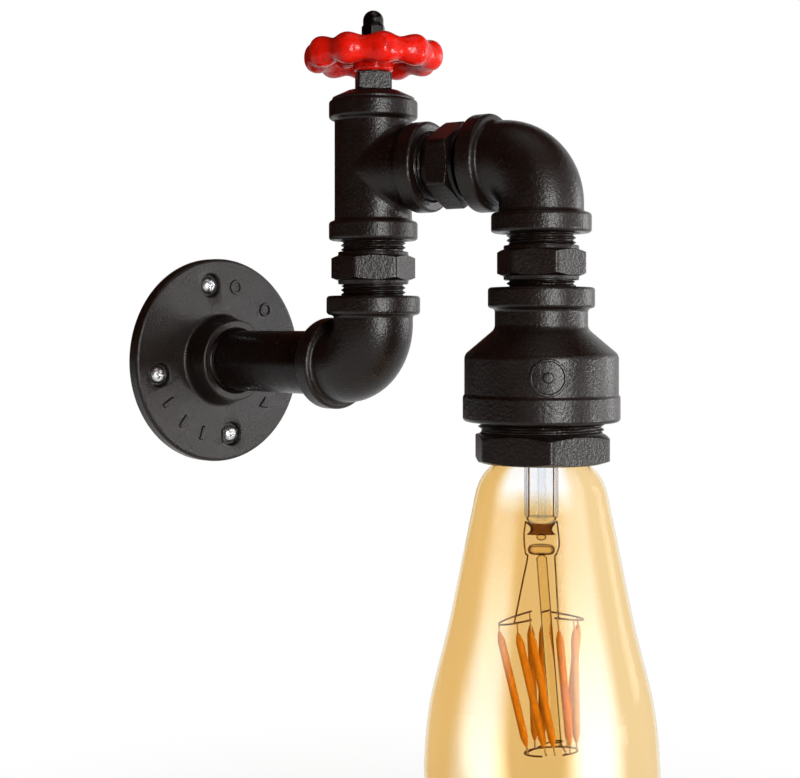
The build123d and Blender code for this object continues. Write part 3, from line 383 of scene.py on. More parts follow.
def raised_ring(radius, width, height, to_place):
    """Raised ring: a ridge of that width along a circle, height * sqrt(1 - w^4) high across it."""
    a, sunk = turn_angles(96), 0.1
    w = np.linspace(-1, 1, 11)[:, None]
    reach = radius + w * width / 2
    lift = height * np.sqrt(1 - w ** 4) - sunk
    return grid(to_place(reach * np.cos(a), reach * np.sin(a), lift + 0 * a))


# ---- Meshes -------------------------------------------------------------------------------------

def added(name, data):
    """New object of that data in the scene."""
    thing = bpy.data.objects.new(name, data)
    bpy.context.collection.objects.link(thing)
    return thing


def mesh_of(name, shells):
    """Mesh in metres from (vertices, quads) shells in millimetres: points that coincide are joined
    and every shell is turned outwards."""
    starts = np.cumsum([0] + [len(points) for points, _ in shells])
    points = np.vstack([points for points, _ in shells]) * MM
    quads = np.vstack([quads + start for (_, quads), start in zip(shells, starts)])
    mesh = bpy.data.meshes.new(name)
    mesh.from_pydata(points.tolist(), [], quads.tolist())
    work = bmesh.new()
    work.from_mesh(mesh)
    bmesh.ops.remove_doubles(work, verts=work.verts, dist=WELD)
    bmesh.ops.recalc_face_normals(work, faces=work.faces)
    work.to_mesh(mesh)
    work.free()
    return mesh


def carve(thing, operation, shell):
    """Joins another closed shell to an object, or cuts it away, and keeps the result."""
    tool = added("tool", mesh_of("tool", [shell]))
    modifier = thing.modifiers.new("carve", "BOOLEAN")
    modifier.operation, modifier.solver, modifier.object = operation, "EXACT", tool
    bpy.context.view_layer.update()
    shown = thing.evaluated_get(bpy.context.evaluated_depsgraph_get())
    result = bpy.data.meshes.new_from_object(shown)
    thing.modifiers.remove(modifier)
    thing.data = result
    bpy.data.objects.remove(tool)


def piece(name, shells, material, body, nodes, sharp=32.0, carved=()):
    """Object from shells, smooth but for edges sharper than `sharp` degrees, once the `carved`
    shells are joined or cut away. It rides on `body` and stands for `nodes`, if there are any."""
    thing = added(name, mesh_of(name, shells))
    for operation, shell in carved:
        carve(thing, operation, shell)
    mesh = thing.data
    mesh.polygons.foreach_set("use_smooth", np.ones(len(mesh.polygons), bool))
    mesh.set_sharp_from_angle(angle=radians(sharp))
    mesh.update()
    coat_with(mesh, material)
    if nodes:
        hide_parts(*nodes)
    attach(thing, body)


def coat_with(mesh, material):
    """Gives a mesh that material alone."""
    mesh.materials.clear()
    mesh.materials.append(material)


def casting(name, shells, nodes=(), sharp=32.0, carved=(), grain=1.0):
    """Piece of black cast iron that stands for `nodes`."""
    piece(name, shells, cast_iron(grain), "fixture", nodes, sharp, carved)


# ---- Shader maths -------------------------------------------------------------------------------

class Value:
    """A shader socket that arithmetic works on: each operation adds a Math node."""

    def __init__(self, shader, socket):
        self.shader = shader
        self.socket = socket

    def maths(self, operation, *terms):
        return self.shader.node("Math", dict(enumerate(terms)), operation=operation)

    def __add__(self, other):
        return self.maths("ADD", self, other)

    def __sub__(self, other):
        return self.maths("SUBTRACT", self, other)

    def __rsub__(self, other):
        return self.maths("SUBTRACT", other, self)

    def __mul__(self, other):
        return self.maths("MULTIPLY", self, other)

    def __pow__(self, other):
        return self.maths("POWER", self, other)

    def __rpow__(self, other):
        return self.maths("POWER", other, self)

    __radd__, __rmul__ = __add__, __mul__

    def largest(self, other):
        return self.maths("MAXIMUM", self, other)

    def smooth(self, low, high, start=0.0, stop=1.0):
        """Smooth step from `start` below `low` to `stop` above `high`."""
        values = {"Value": self, "From Min": low, "From Max": high, "To Min": start, "To Max": stop}
        return self.shader.node("MapRange", values, interpolation_type="SMOOTHSTEP")


class Shader:
    """Node tree under construction, of a new material or of the block that is given."""

    def __init__(self, name, block=None):
        self.block = block or bpy.data.materials.new(name)
        self.block.use_nodes = True
        self.tree = self.block.node_tree
        self.tree.nodes.clear()

    def node(self, kind, values=None, out=0, **settings):
        """New node: settings first, then socket values or links. Returns its output `out`."""
        made = self.tree.nodes.new("ShaderNode" + kind)
        for key, setting in settings.items():
            setattr(made, key, setting)
        for key, value in (values or {}).items():
            if isinstance(value, Value):
                self.tree.links.new(value.socket, made.inputs[key])
            else:
                made.inputs[key].default_value = value
        return Value(self, made.outputs[out]) if len(made.outputs) else made

    def place(self):
        """Object coordinates."""
        return self.node("TexCoord", out="Object")

    def parts(self, vector):
        """The three numbers of a vector."""
        split = self.node("SeparateXYZ", {0: vector})
        return [Value(self, socket) for socket in split.socket.node.outputs]

    def scaled(self, *factors):
        """Object coordinates times a factor on each axis."""
        return self.node("VectorMath", {0: self.place(), 1: factors}, operation="MULTIPLY")

    def noise(self, scale, detail=2.0, roughness=0.5, vector=None, distortion=0.0):
        """Noise with features of about 1 / scale metres, from 0 to 1."""
        return self.node("TexNoise", {"Vector": vector or self.place(), "Scale": scale,
                                      "Detail": detail, "Roughness": roughness,
                                      "Distortion": distortion}, "Fac")

    def cells(self, scale):
        """Distance to the nearest of scattered points."""
        return self.node("TexVoronoi", {"Vector": self.place(), "Scale": scale}, "Distance")

    def mixed(self, factor, first, second):
        """Colour between two colours."""
        first, second = [c if isinstance(c, Value) else (*c[:3], 1.0) for c in (first, second)]
        return self.node("Mix", {0: factor, 6: first, 7: second}, 2, data_type="RGBA")

    def skin(self, *layers):
        """Normal tilted by pairs of a height and its depth in millimetres."""
        normal = {}
        for height, depth in layers:
            values = {"Height": height, "Distance": depth * MM, "Strength": 1.0, **normal}
            normal = {"Normal": self.node("Bump", values)}
        return normal["Normal"]

    def principled(self, **values):
        """Principled shader; names are written with underscores for spaces."""
        values = {key.replace("_", " "): value for key, value in values.items()}
        return self.node("BsdfPrincipled", values)

    def blend(self, factor, first, second):
        """Shader between two shaders."""
        return self.node("MixShader", {0: factor, 1: first, 2: second})

    def plain(self, kind, *tone, **values):
        """Diffuse, transparent or emission shader of one colour."""
        return self.node(kind, {"Color": (*tone, 1.0), **values})

    def edge(self, low, high):
        """0 where the surface faces the eye and 1 where it turns away."""
        return self.node("LayerWeight", {"Blend": 0.5}, "Facing").smooth(low, high)

    def seen(self):
        """1 on camera, glossy and transmission rays, and 0 on others."""
        rays = self.node("LightPath").socket.node.outputs
        camera, glossy, through = [Value(self, rays["Is %s Ray" % kind])
                                   for kind in ("Camera", "Glossy", "Transmission")]
        return camera.largest(glossy).largest(through)

    def finish(self, surface, kind="Material"):
        """Sets the surface and returns the material."""
        self.node("Output" + kind, {"Surface": surface})
        return self.block

    def coat(self, tone, roughness, normal, **values):
        """Finished material of one Principled shader."""
        return self.finish(self.principled(Base_Color=tone, Roughness=roughness, Normal=normal,
                                           **values))

    def glass(self, surface, *shade):
        """Finished glass, which light for shadows goes straight through with that tint."""
        rays = self.node("LightPath", out="Is Shadow Ray")
        return self.finish(self.blend(rays, surface, self.plain("BsdfTransparent", *shade)))


made_finishes = {}


def finish(maker):
    """Decorator: a finish is made once and then reused."""
    def once(*options):
        key = (maker.__name__,) + options
        if key not in made_finishes:
            made_finishes[key] = maker(*options)
        return made_finishes[key]
    return once


@finish
def cast_iron(grain):
    """Satin black coat over a cast skin: wrinkled at about a millimetre, grainy at a third of one,
    with the odd pit. A larger `grain` makes all of them finer."""
    s = Shader("black_cast_iron" if grain == 1.0 else "fine_black_cast_iron")
    wrinkles = s.noise(880 * grain, 2.5, 0.55, distortion=0.4)
    pits = s.cells(260 * grain).smooth(0.02, 0.12)
    drift = s.noise(60)
    worn = s.mixed(drift.smooth(0.35, 0.7), sizes("finish").iron, [0.0068, 0.0034, 0.0024])
    tone = s.mixed(wrinkles.smooth(0.5, 0.72), worn, [0.0095, 0.0075, 0.0065])
    skin = s.skin((wrinkles, 0.20), (s.noise(2600 * grain), 0.06), (pits, 0.05))
    return s.coat(tone, drift.smooth(0.3, 0.7, 0.27, 0.33), skin, Specular_IOR_Level=0.26)


@finish
def cut_iron():
    """Blackened machined iron of the wall pipe: finer and darker than the castings."""
    s = Shader("blackened_cut_iron")
    fine = s.noise(1700, 3.0, 0.6)
    marks = s.noise(300)
    tone = s.mixed(fine.smooth(0.3, 0.8), sizes("finish").iron, [0.007, 0.0035, 0.0025])
    return s.coat(tone, marks.smooth(0.3, 0.7, 0.22, 0.30), s.skin((fine, 0.05), (marks, 0.10)),
                  Specular_IOR_Level=0.14)


@finish
def red_enamel():
    """Thick gloss enamel over a casting, brownish and darker where its lumps dip."""
    s = Shader("red_enamel")
    lumps = s.noise(230, 2.0, 0.55)
    fine = s.noise(1300)
    tone = s.mixed(lumps.smooth(0.30, 0.50), [0.40, 0.007, 0.003], sizes("finish").enamel)
    return s.coat(tone, fine.smooth(0.2, 0.8, 0.16, 0.26), s.skin((lumps, 0.50), (fine, 0.04)),
                  Specular_IOR_Level=0.15)


@finish
def metal(name, tone, dull, roughness):
    """Plated or plain metal with a faint cloud and fine scratches."""
    s = Shader(name)
    cloud = s.noise(180, 3.0, 0.6)
    scratches = s.noise(1.0, vector=s.scaled(900, 900, 5200))
    return s.coat(s.mixed(cloud.smooth(0.35, 0.7), tone, dull),
                  cloud.smooth(0.3, 0.7, roughness, roughness + 0.14),
                  s.skin((scratches, 0.015)), Metallic=1.0)


@finish
def moulded(name, tone, roughness, grain):
    """Moulded or glazed stuff with a fine skin."""
    s = Shader(name)
    skin = s.noise(grain)
    tones = s.mixed(s.noise(90).smooth(0.3, 0.75), tone, [0.72 * channel for channel in tone])
    return s.coat(tones, skin.smooth(0.2, 0.8, roughness, roughness + 0.12), s.skin((skin, 0.03)))


@finish
def phosphor():
    """Orange silicone coat of the filaments, a little paler in clouds."""
    s = Shader("filament_phosphor")
    cloud = s.noise(240)
    tone = s.mixed(cloud.smooth(0.35, 0.7), sizes("finish").phosphor, [0.30, 0.112, 0.005])
    return s.coat(tone, cloud.smooth(0.2, 0.8, 0.6, 0.7), s.skin((cloud, 0.05)),
                  Specular_IOR_Level=0.05)


@finish
def dark_wire():
    """Tarnished brown wire of the lamp's leads and bridges."""
    s = Shader("dark_wire")
    cloud = s.noise(400)
    tone = s.mixed(cloud.smooth(0.3, 0.7), [0.045, 0.018, 0.006], [0.08, 0.035, 0.012])
    return s.coat(tone, cloud.smooth(0.2, 0.8, 0.4, 0.5), s.skin((cloud, 0.01)),
                  Specular_IOR_Level=0.15)


@finish
def amber_glass():
    """Amber glass, deep at the front and the edges, with a pale upright stripe on each side between
    them that is a painted reflection of the lights, partly a diffuse painted sheen, and clear at
    the shoulder's front as a painted highlight. The stripes follow the sine of the azimuth round
    the lamp's axis."""
    s = Shader("amber_glass")
    axis, turn = drop_at(0.0) * MM, sizes("lamp").streak_azimuth
    x, y, height = s.parts(s.place())
    x, y = x - axis[0], y - axis[1]
    across = (x * cos(turn) + y * sin(turn)) * ((x * x + y * y) ** 0.5 + 0.0001) ** -1.0
    wander = s.noise(1.0, vector=s.scaled(50, 50, 6)) * 0.14 - 0.07
    across = across + wander
    # Painted reflection of the lights: a pale upright stripe on each side, which fades out with
    # height.
    left = across.smooth(-0.78, -0.60) * across.smooth(-0.44, -0.26, 1.0, 0.0)
    right = across.smooth(0.18, 0.38) * across.smooth(0.58, 0.72, 1.0, 0.0)
    low = height.smooth(-0.150, -0.060, 1.0, 0.25) * height.smooth(-0.193, -0.168)
    painted_reflection_band = (left + right) * low
    deep = s.mixed(across.smooth(0.1, 0.8), sizes("finish").amber, [0.95, 0.81, 0.57])
    tint_with_painted_bands = s.mixed(painted_reflection_band, deep, [0.99, 0.95, 0.86])
    # Painted highlight: the shoulder's front is tinted near white, as clear glass.
    front = across.smooth(-0.74, -0.50) * across.smooth(0.34, 0.58, 1.0, 0.0)
    shoulder = height.smooth(-0.054, -0.047) * front
    tint = s.mixed(shoulder, tint_with_painted_bands, [0.998, 0.996, 0.99])
    walls = [s.principled(Base_Color=tone, Roughness=0.0, IOR=1.06, Transmission_Weight=1.0)
             for tone in (tint, s.mixed(0.5, tint, [0.80, 0.62, 0.34]))]
    # Painted sheen: a diffuse white share in the painted reflection stripes.
    painted_sheen = s.plain("BsdfDiffuse", 0.93, 0.90, 0.84)
    return s.glass(s.blend(painted_reflection_band * 0.20, s.blend(s.edge(0.55, 0.95), *walls), painted_sheen),
                   0.99, 0.93, 0.82)


@finish
def lamp_glass(name, tone, edge_tone, low=0.24, high=0.55):
    """Clear glass of the stem and rod, dark where it is seen along its wall."""
    s = Shader(name)
    tones = s.mixed(s.noise(140, 1.0), tone, [0.95 * channel for channel in tone])
    walls = [s.principled(Base_Color=colour, Roughness=roughness, IOR=1.12, Transmission_Weight=1.0)
             for colour, roughness in ((tones, 0.02), ((*edge_tone, 1.0), 0.05))]
    return s.glass(s.blend(s.edge(low, high), *walls), 0.9, 0.9, 0.9)


# ---- Places -------------------------------------------------------------------------------------

def column_at(height):
    """Point on the column's axis."""
    return np.array([0.0, -sizes("fittings").reach, height])


def arm_way():
    """Direction of the arm."""
    turn = sizes("fittings").arm_turn
    return np.array([sin(turn), -cos(turn), 0.0])


def level_way(turn):
    """Level direction at that angle from the wall's +X."""
    return np.array([cos(turn), sin(turn), 0.0])


def arm_side():
    """Level direction across the arm."""
    return level_way(sizes("fittings").arm_turn)


def drop_at(height):
    """Point on the drop's axis."""
    return column_at(height) + arm_way() * sizes("fittings").span


def ends(node):
    """Heights of a node's lower and upper ends, from the frame."""
    return [corner[2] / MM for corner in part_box(node)]


def radius_of(node):
    """Radius of a node round the drop's axis, from the frame."""
    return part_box(node)[1][0] / MM - drop_at(0)[0]


def turned(x, y, turn):
    """The point (x, y) turned about the origin."""
    return x * cos(turn) - y * sin(turn), x * sin(turn) + y * cos(turn)


def ended(rows, share=0):
    """Rows with the first and the last repeated beyond the ends, times `share`."""
    return np.vstack([rows[:1] * share, rows, rows[-1:] * share])


# ---- Operators ----------------------------------------------------------------------------------

class Maker(bpy.types.Operator):
    """Base of the operators: execute runs build and reports that it finished."""
    bl_options = {"REGISTER", "UNDO"}

    def execute(self, context):
        self.build()
        return {"FINISHED"}


class PIPELIGHT_OT_flange(Maker):
    """Wall flange: turned casting with rounded edges, four wells and plain raised marks"""
    bl_idname = "pipelight.flange"
    bl_label = "Wall flange"

    def build(self):
        f, axes = sizes("fittings"), Axes((0, 0, 0), ROOM)
        r, t, boss = f.socket_r, f.flange_t, f.thread_len + 3.5
        body = lathe(axes, [
            (r, 0.0, 0.3), (f.flange_r, 0.0, 0.4), (f.flange_r, t, 1.5), (r + 7.0, t, 1.6),
            (r + 6.4, t + 2.2, 0.8), (r + 4.8, boss, 1.0), (r + 1.6, boss, 0.5),
            (r, boss - 1.8, 0.3)], columns=216)
        cuts = []
        for x, _, z in screw_spots():
            well = Axes((x, -t, z), ROOM)
            cuts.append(("DIFFERENCE", lathe(well, [
                (0, -2.4), (4.9, -2.4, 0.6), (5.25, -0.7), (5.35, -0.35), (5.6, -0.1), (6.0, 0.04),
                (6.0, 1.0), (0, 1.0)], columns=64)))
            cuts.append(("DIFFERENCE", lathe(well, [
                (0, 1.0), (2.6, 1.0), (2.6, -8.0), (0, -8.0)], columns=48)))
        casting("flange_casting", [body], ["wall_flange"], carved=cuts, grain=1.5)
        casting("flange_marks", self.marks(f, axes), grain=1.5)

    def marks(self, f, axes):
        """Bars, two rings and a triangle on the face, soft-edged as cast."""
        height = 0.7

        def spot(degrees, radius=f.screw_circle_r):
            def to_place(x, y, lift):
                return axes.place(*turned(radius + x, y, radians(degrees)), f.flange_t + lift)
            return to_place

        def bar(a, inset):
            half_x, half_y = 3.25 - inset, 1.1 - inset
            return ((np.abs(np.cos(a)) / half_x) ** 8
                    + (np.abs(np.sin(a)) / half_y) ** 8) ** (-1 / 8)

        def three(a, inset):
            return (1.7 - inset) * prism(a, 3, 0.0, 14)

        shells = [raised_mark(bar, height, spot(-148 + 20 * k)) for k in range(4)]
        shells += [raised_ring(2.7, 1.4, height, spot(42 + 34 * k)) for k in range(2)]
        return shells + [raised_mark(three, height, spot(-40, f.screw_circle_r - 2))]


def screw_spots():
    """Centres of the four wall screws on the flange's face, as CAD places them."""
    f = sizes("fittings")
    turns = radians(90) + f.screw_turn + 2 * pi / 4 * np.arange(4)
    return np.stack([f.screw_circle_r * np.cos(turns), 0 * turns - f.flange_t + 2.4,
                     f.screw_circle_r * np.sin(turns)], 1)


class PIPELIGHT_OT_screws(Maker):
    """Wall screws: domed heads with a soft cross recess, and threaded shanks"""
    bl_idname = "pipelight.screws"
    bl_label = "Wall screws"

    def build(self):
        shells = []
        for k, spot in enumerate(screw_spots()):
            turn = 0.35 + 0.9 * k
            axes = Axes(spot, ROOM, (cos(turn), 0, sin(turn)))
            shank = Section(72).plain((0, -13.6), (1.4, -13.6))
            shank.thread(-13.2, -3.6, 2.0, 0.7, 0.32, 0.8, 0.4)
            shank.plain((1.9, -3.6), (1.9, 0.4), (0, 0.4))
            shells += [self.head(axes), shank.solid(axes)]
        zinc = metal("zinc_plate", tuple(sizes("finish").zinc), (0.44, 0.45, 0.46), 0.22)
        piece("screw_set", shells, zinc, "fixture", ["wall_screws"], sharp=50)

    def head(self, axes):
        """Dome of height h (1 - k^2.6) at k times the radius, less a cross whose edge is softened
        over a quarter of a millimetre."""
        radius, height, flat = 3.9, 2.2, 0.5
        arm, half, soft, deep = 1.95, 0.48, 0.25, 1.5
        a = turn_angles(96)
        k = np.concatenate([np.linspace(0, 0.6, 26), np.linspace(0.62, 1, 12)])[:, None]
        x, y = k * radius * np.cos(a), k * radius * np.sin(a)
        first = np.maximum(np.abs(x) - arm, np.abs(y) - half)
        second = np.maximum(np.abs(x) - half, np.abs(y) - arm)
        inside = np.clip(0.5 - np.minimum(first, second) / soft, 0, 1)
        dome = flat + height * (1 - k ** 2.6)
        z = dome - deep * inside * (1 - 0.75 * np.hypot(x, y) / arm).clip(0.2, 1)
        x, y = [np.vstack([v, v[-1:], 0 * v[:1]]) for v in (x, y)]
        return grid(axes.place(x, y, np.vstack([z, np.zeros((2, len(a)))])), wrap=False)


class PIPELIGHT_OT_pipe(Maker):
    """Wall pipe: plain tube, threaded at both ends"""
    bl_idname = "pipelight.pipe"
    bl_label = "Wall pipe"

    def build(self):
        f, start = sizes("fittings"), 2.5
        r, plain, end = f.pipe_r, start + f.thread_len, f.reach - f.elbow_face
        section = Section(144).plain((f.bore_r, start)).pipe_thread(start, plain + 1.4, 1.0, 1.4)
        section.plain((r - 0.5, plain + 1.6), (r, plain + 2.2), (r, plain + 2.6), (r, end - 1.2),
                      (r, end - 0.8), (f.thread_r - 0.4, end))
        section.pipe_thread(end, end + f.thread_len, 0.6, 1.0).plain((f.bore_r, end + f.thread_len))
        piece("wall_pipe", [section.solid(Axes((0, 0, 0), ROOM))], cut_iron(), "fixture",
              ["wall_nipple"])


def elbow(axes):
    """Elbow with mouths along the frame's +Z and +Y. Each point (radius, distance) of the section's
    outline goes round the centreline, which is two straights and a quarter circle."""
    f = sizes("fittings")
    socket, body_r, bead_r, bead_w = f.socket_r, f.socket_r + 2.9, f.socket_r + 5.8, 7.4
    bend = body_r + 0.5
    straight = f.elbow_face - bend
    total = 2 * straight + bend * pi / 2
    near = [(socket + 1.7, 0.0, 0.4), (bead_r, 0.0, 1.3), (bead_r, bead_w, 1.5),
            (body_r, bead_w + 0.7, 1.1)]
    far = [(r, total - s, rounding) for r, s, rounding in near[::-1]]
    outline = rounded(near + far + [
        (socket, total - 1.7, 0.3), (socket, total - SOCKET_DEEP),
        (f.bore_r, total - SOCKET_DEEP), (f.bore_r, SOCKET_DEEP), (socket, SOCKET_DEEP),
        (socket, 1.7, 0.3)])
    dense = []
    for point, after in zip(outline, np.roll(outline, -1, 0)):
        steps = max(1, int(np.linalg.norm(after - point) / 0.9))
        dense.append(point + (after - point) * np.linspace(0, 1, steps, endpoint=False)[:, None])
    r, s = np.vstack(dense).T[..., None]
    along = np.clip((s - straight) / bend, 0, pi / 2)
    y = bend - bend * np.cos(along) + np.maximum(s - straight - bend * pi / 2, 0)
    z = bend - bend * np.sin(along) + np.maximum(straight - s, 0)
    a = turn_angles(144)
    away = r * np.cos(a)
    return grid(axes.place(r * np.sin(a), y - away * np.cos(along), z - away * np.sin(along)))


class PIPELIGHT_OT_elbows(Maker):
    """Both elbows: one skin swept round the bend, with beads at the mouths"""
    bl_idname = "pipelight.elbows"
    bl_label = "Elbows"

    def build(self):
        upper = Axes(drop_at(sizes("fittings").arm_z), DOWN, -arm_side())
        casting("lower_elbow_casting", [elbow(Axes(column_at(0.0)))], ["lower_elbow"])
        casting("upper_elbow_casting", [elbow(upper)], ["upper_elbow"])


class PIPELIGHT_OT_tee(Maker):
    """Tee: a run and a branch joined by a cast fillet, then bored"""
    bl_idname = "pipelight.tee"
    bl_label = "Tee"

    def build(self):
        f = sizes("fittings")
        centre, face, socket, bead_w = column_at(f.arm_z), f.tee_face, f.socket_r, 7.4
        body_r, bead_r = socket + 2.5, socket + 4.8
        end = [(0.0, face), (bead_r, face, 1.3), (bead_r, face - bead_w, 1.4),
               (body_r, face - bead_w - 0.7, 1.1)]
        run = lathe(Axes(centre, UP, arm_side()), end + [(r, -z, *c) for r, z, *c in end[::-1]],
                    columns=180)
        carved = [("UNION", self.branch(centre, body_r, rounded(end + [(body_r, 0.0)])[:-1]))]
        for way in (UP, DOWN, arm_way()):
            carved.append(("DIFFERENCE", lathe(Axes(centre + way * face, -way), [
                (0, -1.0), (socket + 2.0, -1.0), (socket, 1.0), (socket, SOCKET_DEEP),
                (f.bore_r, SOCKET_DEEP + 0.1), (f.bore_r, face + 0.01), (0, face + 0.01)],
                columns=96)))
        casting("tee_casting", [run], ["tee"], carved=carved)

    def branch(self, centre, body_r, mouth):
        """Branch whose root flares on to the run: from the line where the two cylinders meet, a
        quadratic curve leads along both by the fillet's radius times tan(half the angle)."""
        a = turn_angles(180)
        x, z = np.cos(a), np.sin(a)
        meet = body_r * np.stack([x, np.abs(z), z], -1)
        branch_normal = np.stack([x, 0 * x, z], -1)
        run_normal = np.stack([x, np.abs(z), 0 * x], -1)
        facing = np.sum(branch_normal * run_normal, -1)[:, None]
        lead = 4.2 * np.tan(np.arccos(np.clip(facing, -1, 1)) / 2) + 0.05
        outward = branch_normal - run_normal * facing
        norm = np.linalg.norm(outward, axis=1)[:, None]
        outward = np.where(norm > 1e-6, outward / np.maximum(norm, 1e-6), 0)
        start, stop = meet + np.array([0, 1, 0]) * lead, meet + outward * lead
        stop[:, :2] *= (body_r - 0.03) / np.hypot(stop[:, 0], stop[:, 1])[:, None]
        rows = [np.stack([r * x, y + 0 * x, r * z], -1) for r, y in mouth]
        rows += [start * (1 - t) ** 2 + meet * 2 * t * (1 - t) + stop * t * t
                 for t in np.linspace(0, 1, 9)]
        points = np.array(rows + [0.8 * stop, 0 * stop])
        return grid(centre + points @ np.array([arm_side(), arm_way(), UP]), wrap=False)


def hex_nipple(axes, below, above, turn):
    """Nipple along the frame's Z, its hexagon from 0, with a collar and a thread at both ends."""
    f = sizes("fittings")
    collar_r, collar = f.thread_r + 1.1, 1.5
    low, high = -below - f.thread_len, f.hex_len + above + f.thread_len
    edge = [(f.thread_r - f.thread_depth, -collar), (collar_r - 0.5, -collar),
            (collar_r - 0.15, -collar + 0.1), (collar_r, -collar + 0.4), (collar_r, -0.3),
            (collar_r + 0.1, 0.0)]
    section = Section(192).plain((f.bore_r, low)).pipe_thread(low, -collar - 0.2, 1.0, 0.5)
    section.plain(*edge).polygon(0.0, f.hex_len, f.hex_flat, 6, turn, 1.2)
    section.plain(*[(r, f.hex_len - z) for r, z in edge[::-1]])
    section.pipe_thread(f.hex_len + collar + 0.2, high, 0.5, 1.0).plain((f.bore_r, high))
    return section.solid(axes)


class PIPELIGHT_OT_nipples(Maker):
    """The three hexagon nipples, with helical threads"""
    bl_idname = "pipelight.nipples"
    bl_label = "Hexagon nipples"

    def build(self):
        f = sizes("fittings")
        arm = Axes(column_at(f.arm_z) + arm_way() * (f.tee_face + 5.4), arm_way(), UP)
        drop = Axes(drop_at(f.arm_z - f.elbow_face - 6.2), DOWN)
        for name, axes, below, above, turn in (
                ("column", Axes(column_at(f.elbow_face + 6.2)), 6.2, 6.1, 19.5),
                ("arm", arm, 5.4, 5.35, 0.0), ("drop", drop, 6.2, 4.2, -0.8)):
            casting(name + "_hex_nipple", [hex_nipple(axes, below, above, turn)],
                    [name + "_nipple"], sharp=38)


class PIPELIGHT_OT_reducer(Maker):
    """Reducing socket: neck, cone and bell with cast roundings, and a plain raised mark"""
    bl_idname = "pipelight.reducer"
    bl_label = "Reducing socket"

    def build(self):
        f = sizes("fittings")
        foot, top = ends("reducer")
        total, socket, large = top - foot, f.socket_r, f.large_r + 0.05
        neck_r, top_r, bell_r, foot_r = socket + 4.4, socket + 7.0, large + 5.25, large + 5.85
        body = lathe(Axes(drop_at(top), DOWN, arm_side()), [
            (socket + 1.8, 0.0, 0.4), (top_r, 0.0, 1.2), (top_r, 7.7, 1.3), (neck_r, 8.3, 1.4),
            (neck_r, 15.7, 3.2), (bell_r, 25.5, 3.4), (bell_r, total - 10.3, 1.0),
            (foot_r, total - 9.3, 0.9), (foot_r, total, 1.5), (large + 1.8, total, 0.4),
            (large, total - 1.8), (large, total - 19.5), (large - 3.4, total - 19.5),
            (large - 3.4, total - 23.5), (f.bore_r, 22.0), (f.bore_r, SOCKET_DEEP),
            (socket, SOCKET_DEEP), (socket, 1.8)], columns=216, steps=8)
        mark_turn, mark_z = radians(225.7), top - 33.4

        def on_bell(x, y, lift):
            around, out = mark_turn + x / bell_r, bell_r + lift
            return drop_at(0) + np.stack([out * np.cos(around), out * np.sin(around), mark_z + y],
                                         -1)

        casting("reducer_casting", [body], ["reducer"])
        casting("reducer_mark", [raised_ring(6.4, 1.3, 0.65, on_bell), raised_mark(
            lambda a, inset: 2.1 - inset + 0 * a, 0.6, on_bell)])


class PIPELIGHT_OT_bushing(Maker):
    """Hexagon bushing under the reducer, with a helical thread"""
    bl_idname = "pipelight.bushing"
    bl_label = "Hexagon bushing"

    def build(self):
        f = sizes("fittings")
        foot, top = ends("socket_bushing")
        tall, hex_len, r, bore = top - foot, 11.0, f.large_r, f.large_r - 4.4
        section = Section(240).plain((bore, 1.0), (bore + 0.3, 0.3), (bore + 1.0, 0.0),
                                     (bore + 1.3, 0.0))
        section.polygon(0.0, hex_len, 48.0, 6, 48.2, 1.5)
        section.plain((r - 0.6, hex_len), (r - 0.9, hex_len + 0.5))
        section.thread(hex_len + 0.5, tall, r, f.large_pitch, f.large_depth, 1.2, 1.4)
        section.plain((bore, tall))
        casting("hex_bushing", [section.solid(Axes(drop_at(foot)))], ["socket_bushing"], sharp=38)


class PIPELIGHT_OT_plug(Maker):
    """Top plug: threaded body, conical shoulder and square head"""
    bl_idname = "pipelight.plug"
    bl_label = "Top plug"

    def build(self):
        f, bore = sizes("fittings"), 5.3
        seat = f.arm_z + f.tee_face
        tall = ends("top_plug")[1] - seat
        shoulder = rounded([(9.5, -1.5), (16.6, -0.2), (16.8, 1.0, 0.6), (10.8, 3.8, 1.0),
                            (9.2, 4.2)])[1:-1]
        section = Section(160).plain((bore, -1.0), (10.6, -1.0), (10.6, -f.thread_len))
        section.pipe_thread(-f.thread_len, -0.6, 1.0, 0.6).plain(*shoulder)
        section.polygon(4.0, tall, 13.8, 4, 98, 0.7, 26).plain((bore, tall))
        casting("square_head_plug", [section.solid(Axes(column_at(seat)))], ["top_plug"], sharp=40)


